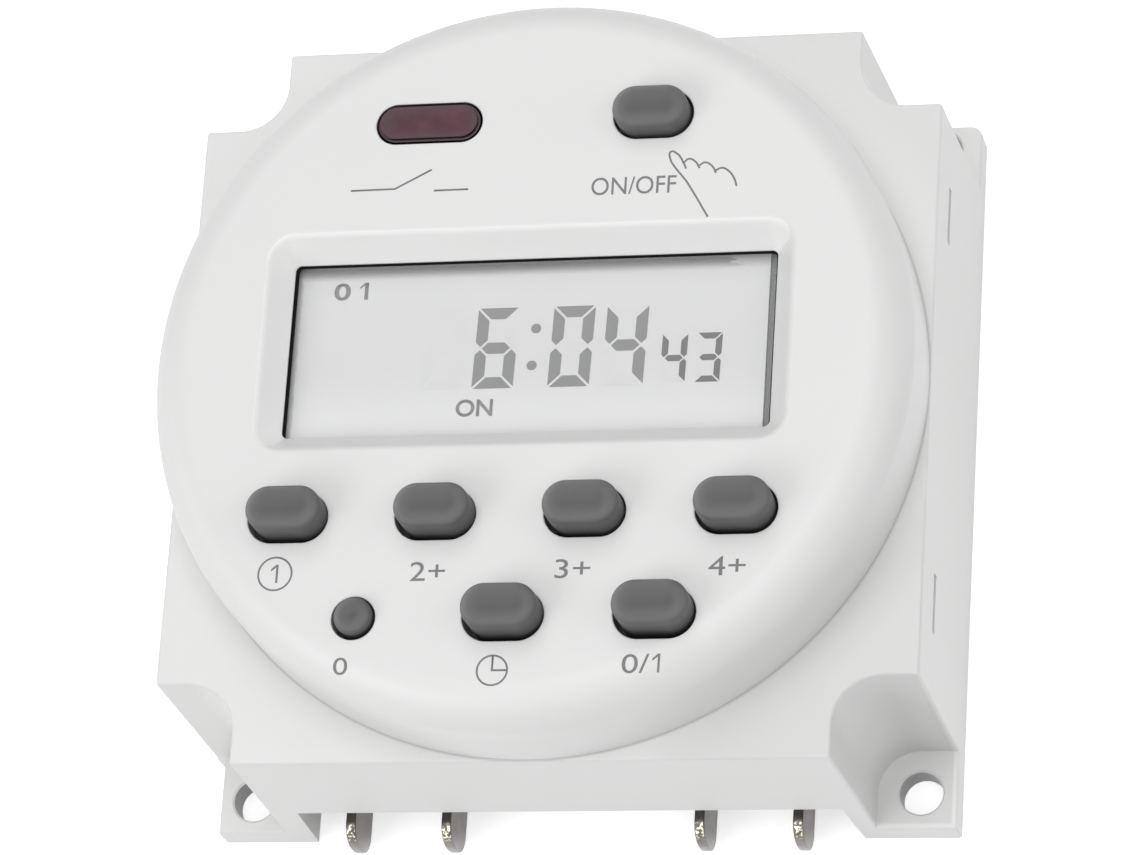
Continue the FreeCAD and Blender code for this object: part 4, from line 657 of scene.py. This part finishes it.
# flat shapes for the display and the face
def addDigit(lit, ghost, left, bottom, width, high, bar, gap, slant, shown):
    # seven bars with mitred ends; the ones not shown stay as faint traces
    middle = high / 2
    lean = bar * 0.42  # how far the inner end of a side bar is cut back
    top = [(gap, high), (width - gap, high), (width - gap - bar, high - bar), (gap + bar, high - bar)]
    side = [(width, high - gap), (width, middle + lean + gap), (width - lean, middle + gap),
            (width - bar, middle + bar - lean + gap), (width - bar, high - bar - gap)]
    halfDash = [(lean + gap, middle), (lean + gap + bar / 2, middle + bar / 2)]
    dash = halfDash + [(width - x, y) for x, y in reversed(halfDash)]
    dash += [(x, high - y) for x, y in (dash[2], dash[1])]

    def turned(points, turnX, turnY):
        return [(width - x if turnX else x, high - y if turnY else y) for x, y in points]

    bars = {"a": top, "b": side, "c": turned(side, False, True), "d": turned(top, False, True),
            "e": turned(side, True, True), "f": turned(side, True, False), "g": dash}
    for name, points in bars.items():
        bm = lit if name in shown else ghost
        bm.faces.new([bm.verts.new((left + x + slant * y, bottom + y, 0)) for x, y in points])


def shapeMesh(name, curve):
    # the mesh of a curve or a text, which isn't kept itself
    item = bpy.data.objects.new(name, curve)
    bpy.context.collection.objects.link(item)
    bpy.context.view_layer.update()
    mesh = bpy.data.meshes.new_from_object(item.evaluated_get(bpy.context.evaluated_depsgraph_get()))
    bpy.data.objects.remove(item)
    return mesh


def addMesh(bm, mesh):
    bm.from_mesh(mesh)
    bpy.data.meshes.remove(mesh)


def addWords(bm, words, bold=0.0):
    # each text with the left, bottom, height and width of its letters
    for text, left, bottom, high, width in words:
        curve = bpy.data.curves.new("word", "FONT")
        curve.body = text
        curve.offset = bold
        mesh = shapeMesh("word", curve)
        xs = [vert.co.x for vert in mesh.vertices]
        ys = [vert.co.y for vert in mesh.vertices]
        growX = width / (max(xs) - min(xs))
        growY = high / (max(ys) - min(ys))
        for vert, x, y in zip(mesh.vertices, xs, ys):
            vert.co.x = (x - min(xs)) * growX + left
            vert.co.y = (y - min(ys)) * growY + bottom
        addMesh(bm, mesh)
        if text == "1":
            # a plain 1 gets the small stroke at its head
            top, flagLeft = bottom + high, left - 0.27 * high
            flag = [(left, top), (flagLeft, top - 0.24 * high), (flagLeft, top - 0.37 * high),
                    (left, top - 0.15 * high)]
            bm.faces.new([bm.verts.new((x, y, 0)) for x, y in flag])


def addLine(bm, points, width, thick, closed=False):
    # a thin round-ended line through the points, pressed flat
    curve = bpy.data.curves.new("line", "CURVE")
    curve.dimensions = "2D"
    curve.fill_mode = "NONE"
    curve.bevel_depth = width / 2
    curve.bevel_resolution = 3
    curve.use_fill_caps = True
    path = curve.splines.new("BEZIER")
    path.bezier_points.add(len(points) - 1)
    for knot, (x, y) in zip(path.bezier_points, points):
        knot.co = (x, y, 0)
        knot.handle_left_type = knot.handle_right_type = "VECTOR" if len(points) < 4 else "AUTO"
    path.use_cyclic_u = closed
    mesh = shapeMesh("line", curve)
    for vert in mesh.vertices:
        vert.co.z = (vert.co.z + width / 2) / width * thick
    addMesh(bm, mesh)


def thickenInk(bm, z, thick):
    # a flat print becomes a very thin closed layer standing on its surface
    made = bmesh.ops.extrude_face_region(bm, geom=bm.faces[:])["geom"]
    lifted = [item for item in made if isinstance(item, bmesh.types.BMVert)]
    bmesh.ops.translate(bm, vec=(0, 0, thick), verts=lifted)
    bmesh.ops.translate(bm, vec=(0, 0, z), verts=bm.verts)


def placeInk(piece, material):
    piece.data.transform(Matrix.Scale(mm, 4))
    piece.data.materials.append(material)
    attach(piece, caseBody)


# what the display shows: kind of digit, left, bottom and its lit bars
display = {
    "top": 25.75, "ink": 0.012, "bold": 0.02,
    "big": dict(width=3.25, high=6.6, bar=0.92, gap=0.13, slant=0.027),
    "small": dict(width=1.97, high=4.0, bar=0.5, gap=0.08, slant=0.027),
    "digits": [("big", -8.76, -1.95, ""), ("big", -4.59, -1.93, "acdefg"),
               ("big", 1.36, -1.95, "abcdef"), ("big", 5.54, -1.98, "bcfg"),
               ("small", 10.05, -1.86, "bcfg"), ("small", 12.72, -1.86, "abcdg")],
    "dots": [(0.2, 2.89), (0.04, -0.13)], "dotRadius": 0.4,
    "words": [("0", -16.07, 5.71, 1.42, 1.3), ("1", -13.65, 5.71, 1.42, 0.3), ("ON", -5.69, -4.18, 1.4, 2.9)],
}
lit, small, ghost = bmesh.new(), bmesh.new(), bmesh.new()
for kind, left, bottom, shown in display["digits"]:
    addDigit(lit if kind == "big" else small, ghost, left, bottom, shown=shown, **display[kind])
for x, y in display["dots"]:
    bmesh.ops.create_circle(lit, cap_ends=True, radius=display["dotRadius"], segments=24,
                            matrix=Matrix.Translation((x, y, 0)))
addWords(lit, display["words"], display["bold"])
for bm, name, thick, material in ((lit, "displaySegments", display["ink"], segmentGrey),
                                  (small, "displaySmallSegments", display["ink"], smallSegmentGrey),
                                  (ghost, "displayFaintSegments", display["ink"] / 2, ghostGrey)):
    thickenInk(bm, display["top"], thick)
    placeInk(toMesh(bm, name), material)
print("display made")


# printed marks on the face: numbers, rings, and strokes of the clock, the contact and the hand; lean says how
# far a draped mark moves for each millimetre that it drops
marks = {
    "z": 29.0, "thick": 0.012, "line": 0.15, "lean": (0.27, 0.41), "longest": 0.3, "ringKnots": 16,
    "words": [("1", -17.8, -18.45, 1.45, 0.17), ("2+", -7.35, -18.5, 1.5, 2.7), ("3+", 3.77, -18.5, 1.5, 2.7),
              ("4+", 15.4, -18.5, 1.5, 2.8), ("0", -12.75, -25.85, 1.4, 1.1), ("0/", 9.3, -26.0, 1.5, 2.05),
              ("1", 12.0, -26.0, 1.5, 0.17), ("ON/OFF", 4.65, 12.35, 1.45, 6.6)],
    "rings": [(-17.87, -17.73, 1.3), (-0.51, -25.6, 1.15)],
    "strokes": [
        [(-0.51, -24.45), (-0.51, -25.6), (0.64, -25.6)],
        [(-14.43, 13.47), (-10.92, 13.49), (-8.08, 15.01)],
        [(-7.79, 13.24), (-5.07, 13.26)],
        [(13.85, 10.25), (12.2, 13.0), (10.62, 15.35), (10.7, 15.75), (11.15, 15.6), (11.75, 14.75),
         (11.95, 14.3)],
        [(11.7, 14.75), (12.15, 15.1), (12.65, 14.85), (13.0, 14.3)],
        [(12.95, 14.5), (13.4, 14.75), (13.95, 14.45), (14.3, 13.85)],
        [(14.25, 14.05), (14.75, 14.25), (15.3, 13.95), (15.75, 13.3), (15.95, 12.7)]],
}


def drape(piece):
    # beyond the flat of the face a mark follows the dome's rounded edge, in line with the photograph's view
    flat = housing["domeRadius"] - housing["domeRound"]
    bend = housing["domeRound"]
    bm = bmesh.new()
    bm.from_mesh(piece.data)
    bmesh.ops.triangulate(bm, faces=bm.faces[:])
    for _ in range(3):
        long = [edge for edge in bm.edges if edge.calc_length() > marks["longest"]
                and max(vert.co.xy.length for vert in edge.verts) > flat]
        bmesh.ops.subdivide_edges(bm, edges=long, cuts=1)
        bmesh.ops.triangulate(bm, faces=bm.faces[:])
    for vert in bm.verts:
        if vert.co.xy.length > flat:
            # the mark moves as it drops, so its place on the rounded edge is found in a few steps
            x, y, z = vert.co
            drop = 0
            for _ in range(12):
                vert.co.x, vert.co.y = x - marks["lean"][0] * drop, y + marks["lean"][1] * drop
                out = min(max(vert.co.xy.length - flat, 0), bend)
                drop = (drop + bend - math.sqrt(bend ** 2 - out ** 2)) / 2
            vert.co.z = z - drop
    bm.to_mesh(piece.data)
    bm.free()


words = bmesh.new()
addWords(words, marks["words"])
thickenInk(words, marks["z"], marks["thick"])
lines = bmesh.new()
for x, y, radius in marks["rings"]:
    turns = [2 * math.pi * i / marks["ringKnots"] for i in range(marks["ringKnots"])]
    ring = [(x + radius * math.cos(turn), y + radius * math.sin(turn)) for turn in turns]
    addLine(lines, ring, marks["line"], marks["thick"], closed=True)
for stroke in marks["strokes"]:
    addLine(lines, stroke, marks["line"], marks["thick"])
bmesh.ops.translate(lines, vec=(0, 0, marks["z"]), verts=lines.verts)
for bm, name in ((words, "faceNumbers"), (lines, "faceLines")):
    ink = toMesh(bm, name)
    drape(ink)
    placeInk(ink, inkGrey)
print("marks made")


# tab terminals
tabs = {"places": (-17.65, -9.9, 10.3, 18.05), "thick": 0.8, "low": 0.2, "high": 5.0, "tip": -31.5,
        "taper": 1.65, "tipHigh": 0.8, "tipSteps": 6, "wall": -24.0, "neckLow": 1.8, "neckHigh": 4.8,
        "reach": -19.0, "tail": 1.2, "tailTop": 7.6, "edge": 0.12}


def makeTab(number, x):
    t = tabs
    drop = (t["high"] - t["low"] - t["tipHigh"]) / 2
    turns = [math.pi / 2 * i / t["tipSteps"] for i in range(t["tipSteps"] + 1)]
    curve = [(t["tip"] + t["taper"] * (1 - math.sin(turn)), drop * (1 - math.cos(turn))) for turn in turns]
    end = t["reach"] - t["tail"]
    outline = [(y, t["low"] + up) for y, up in reversed(curve)]
    outline += [(t["wall"], t["low"]), (t["wall"], t["neckLow"]), (t["reach"], t["neckLow"]),
                (t["reach"], t["tailTop"]), (end, t["tailTop"]), (end, t["neckHigh"]),
                (t["wall"], t["neckHigh"]), (t["wall"], t["high"])]
    outline += [(y, t["high"] - up) for y, up in curve]
    bm = bmesh.new()
    face = bm.faces.new([bm.verts.new((x - t["thick"] / 2, y, z)) for y, z in outline])
    made = bmesh.ops.extrude_face_region(bm, geom=[face])["geom"]
    bmesh.ops.translate(bm, vec=(t["thick"], 0, 0),
                        verts=[item for item in made if isinstance(item, bmesh.types.BMVert)])
    bmesh.ops.recalc_face_normals(bm, faces=bm.faces)
    rim = [edge for edge in bm.edges if edge.calc_face_angle(0) > 1
           and max(vert.co.y for vert in edge.verts) < t["wall"] + 0.01]
    bmesh.ops.bevel(bm, geom=rim, offset=t["edge"], segments=2, profile=0.5, affect="EDGES", material=-1)
    tab = toMesh(bm, "tab")
    # only the upper narrow edge is rubbed
    rubbed = tab.data.attributes.new("rubbed", "FLOAT", "POINT")
    for index, vert in enumerate(tab.data.vertices):
        onEdge = abs(vert.co.x - x) < t["thick"] / 2 - t["edge"] + 0.01
        rubbed.data[index].value = 1 if onEdge and vert.co.z > (t["low"] + t["high"]) / 2 else 0
    finishPiece(tab, "tab_%d" % number, caseBody, tinPlate, "terminal_%d" % number, sharp=50)


for tabNumber, tabX in enumerate(tabs["places"], start=1):
    makeTab(tabNumber, tabX)
print("tabs made")


# floor, light and camera
def seenDirectly(tree):
    # 1 for rays from the camera, straight, mirrored or through glass
    rays = tree.nodes.new("ShaderNodeLightPath").outputs
    straightOrMirrored = maths("MAXIMUM", rays["Is Camera Ray"], rays["Is Glossy Ray"])
    return maths("MAXIMUM", straightOrMirrored, rays["Is Transmission Ray"])


floorLook = {"size": 6, "z": -0.00005, "colour": (0.9, 0.9, 0.9, 1), "rough": 0.9, "lift": 0.56}


def makeFloor():
    bpy.ops.mesh.primitive_plane_add(size=floorLook["size"], location=(0, 0, floorLook["z"]))
    floor = bpy.context.object
    floor.name = "floor"
    material = bpy.data.materials.new("paleFloor")
    material.use_nodes = True
    nodes, links = material.node_tree.nodes, material.node_tree.links
    shader = nodes["Principled BSDF"]
    shader.inputs["Base Color"].default_value = floorLook["colour"]
    shader.inputs["Roughness"].default_value = floorLook["rough"]
    shader.inputs["Emission Color"].default_value = (1, 1, 1, 1)
    glow = product(seenDirectly(material.node_tree), floorLook["lift"])
    links.new(glow, shader.inputs["Emission Strength"])
    # seen from below the floor is clear, so that the back of the timer shows
    side = nodes.new("ShaderNodeNewGeometry")
    clear = nodes.new("ShaderNodeBsdfTransparent")
    choose = nodes.new("ShaderNodeMixShader")
    links.new(side.outputs["Backfacing"], choose.inputs["Fac"])
    links.new(shader.outputs["BSDF"], choose.inputs[1])
    links.new(clear.outputs["BSDF"], choose.inputs[2])
    links.new(choose.outputs["Shader"], nodes["Material Output"].inputs["Surface"])
    floor.data.materials.append(material)


makeFloor()

# each lamp stands at a place, and looks at the origin; power is in watts
lighting = {"world": 0.26, "background": 1.0, "lampSize": 0.45,
            "lamps": [("overhead", (0, 0, 0.75), 1.69), ("top", (0, 0.4, 0.6), 0.76),
                      ("lowerLeft", (-0.4, -0.4, 0.4), 1.31), ("right", (0.6, 0, 0.3), 0.56),
                      ("front", (0.2, -0.3, 0.65), 0.74)]}
world = bpy.data.worlds.new("studio")
bpy.context.scene.world = world
world.use_nodes = True
backdrop = world.node_tree.nodes["Background"]
backdrop.inputs["Color"].default_value = (1, 1, 1, 1)
strength = world.node_tree.nodes.new("ShaderNodeMapRange")
strength.inputs["To Min"].default_value = lighting["world"]
strength.inputs["To Max"].default_value = lighting["background"]
world.node_tree.links.new(seenDirectly(world.node_tree), strength.inputs["Value"])
world.node_tree.links.new(strength.outputs["Result"], backdrop.inputs["Strength"])
for lampName, spot, power in lighting["lamps"]:
    lamp = bpy.data.lights.new(lampName, "AREA")
    lamp.size = lighting["lampSize"]
    lamp.energy = power
    holder = bpy.data.objects.new(lampName, lamp)
    holder.location = spot
    holder.rotation_euler = (-Vector(spot)).to_track_quat("-Z", "Y").to_euler()
    bpy.context.collection.objects.link(holder)

# the camera of the photograph: angles in degrees round the target, distance in metres
cameraView = {"azimuth": 33.604, "elevation": 64.858, "roll": -32.5, "distance": 0.403692,
              "target": (0.000575, -0.001072, 0.015), "lens": 163.9, "sensor": 36}
azimuth, elevation, roll = (math.radians(cameraView[key]) for key in ("azimuth", "elevation", "roll"))
back = Vector((math.sin(azimuth) * math.cos(elevation), -math.cos(azimuth) * math.cos(elevation),
               math.sin(elevation)))
right = (-back).cross(Vector((0, 0, 1))).normalized()
up = right.cross(-back)
rightTurned = right * math.cos(roll) + up * math.sin(roll)
upTurned = -right * math.sin(roll) + up * math.cos(roll)
cameraData = bpy.data.cameras.new("photoCamera")
cameraData.sensor_width = cameraView["sensor"]
cameraData.lens = cameraView["lens"]
cameraData.clip_start = 0.01
camera = bpy.data.objects.new("photoCamera", cameraData)
camera.matrix_world = Matrix((rightTurned, upTurned, back)).transposed().to_4x4()
camera.location = Vector(cameraView["target"]) + back * cameraView["distance"]
bpy.context.collection.objects.link(camera)
bpy.context.scene.camera = camera
bpy.context.scene.view_settings.view_transform = "Standard"
print("light and camera set")
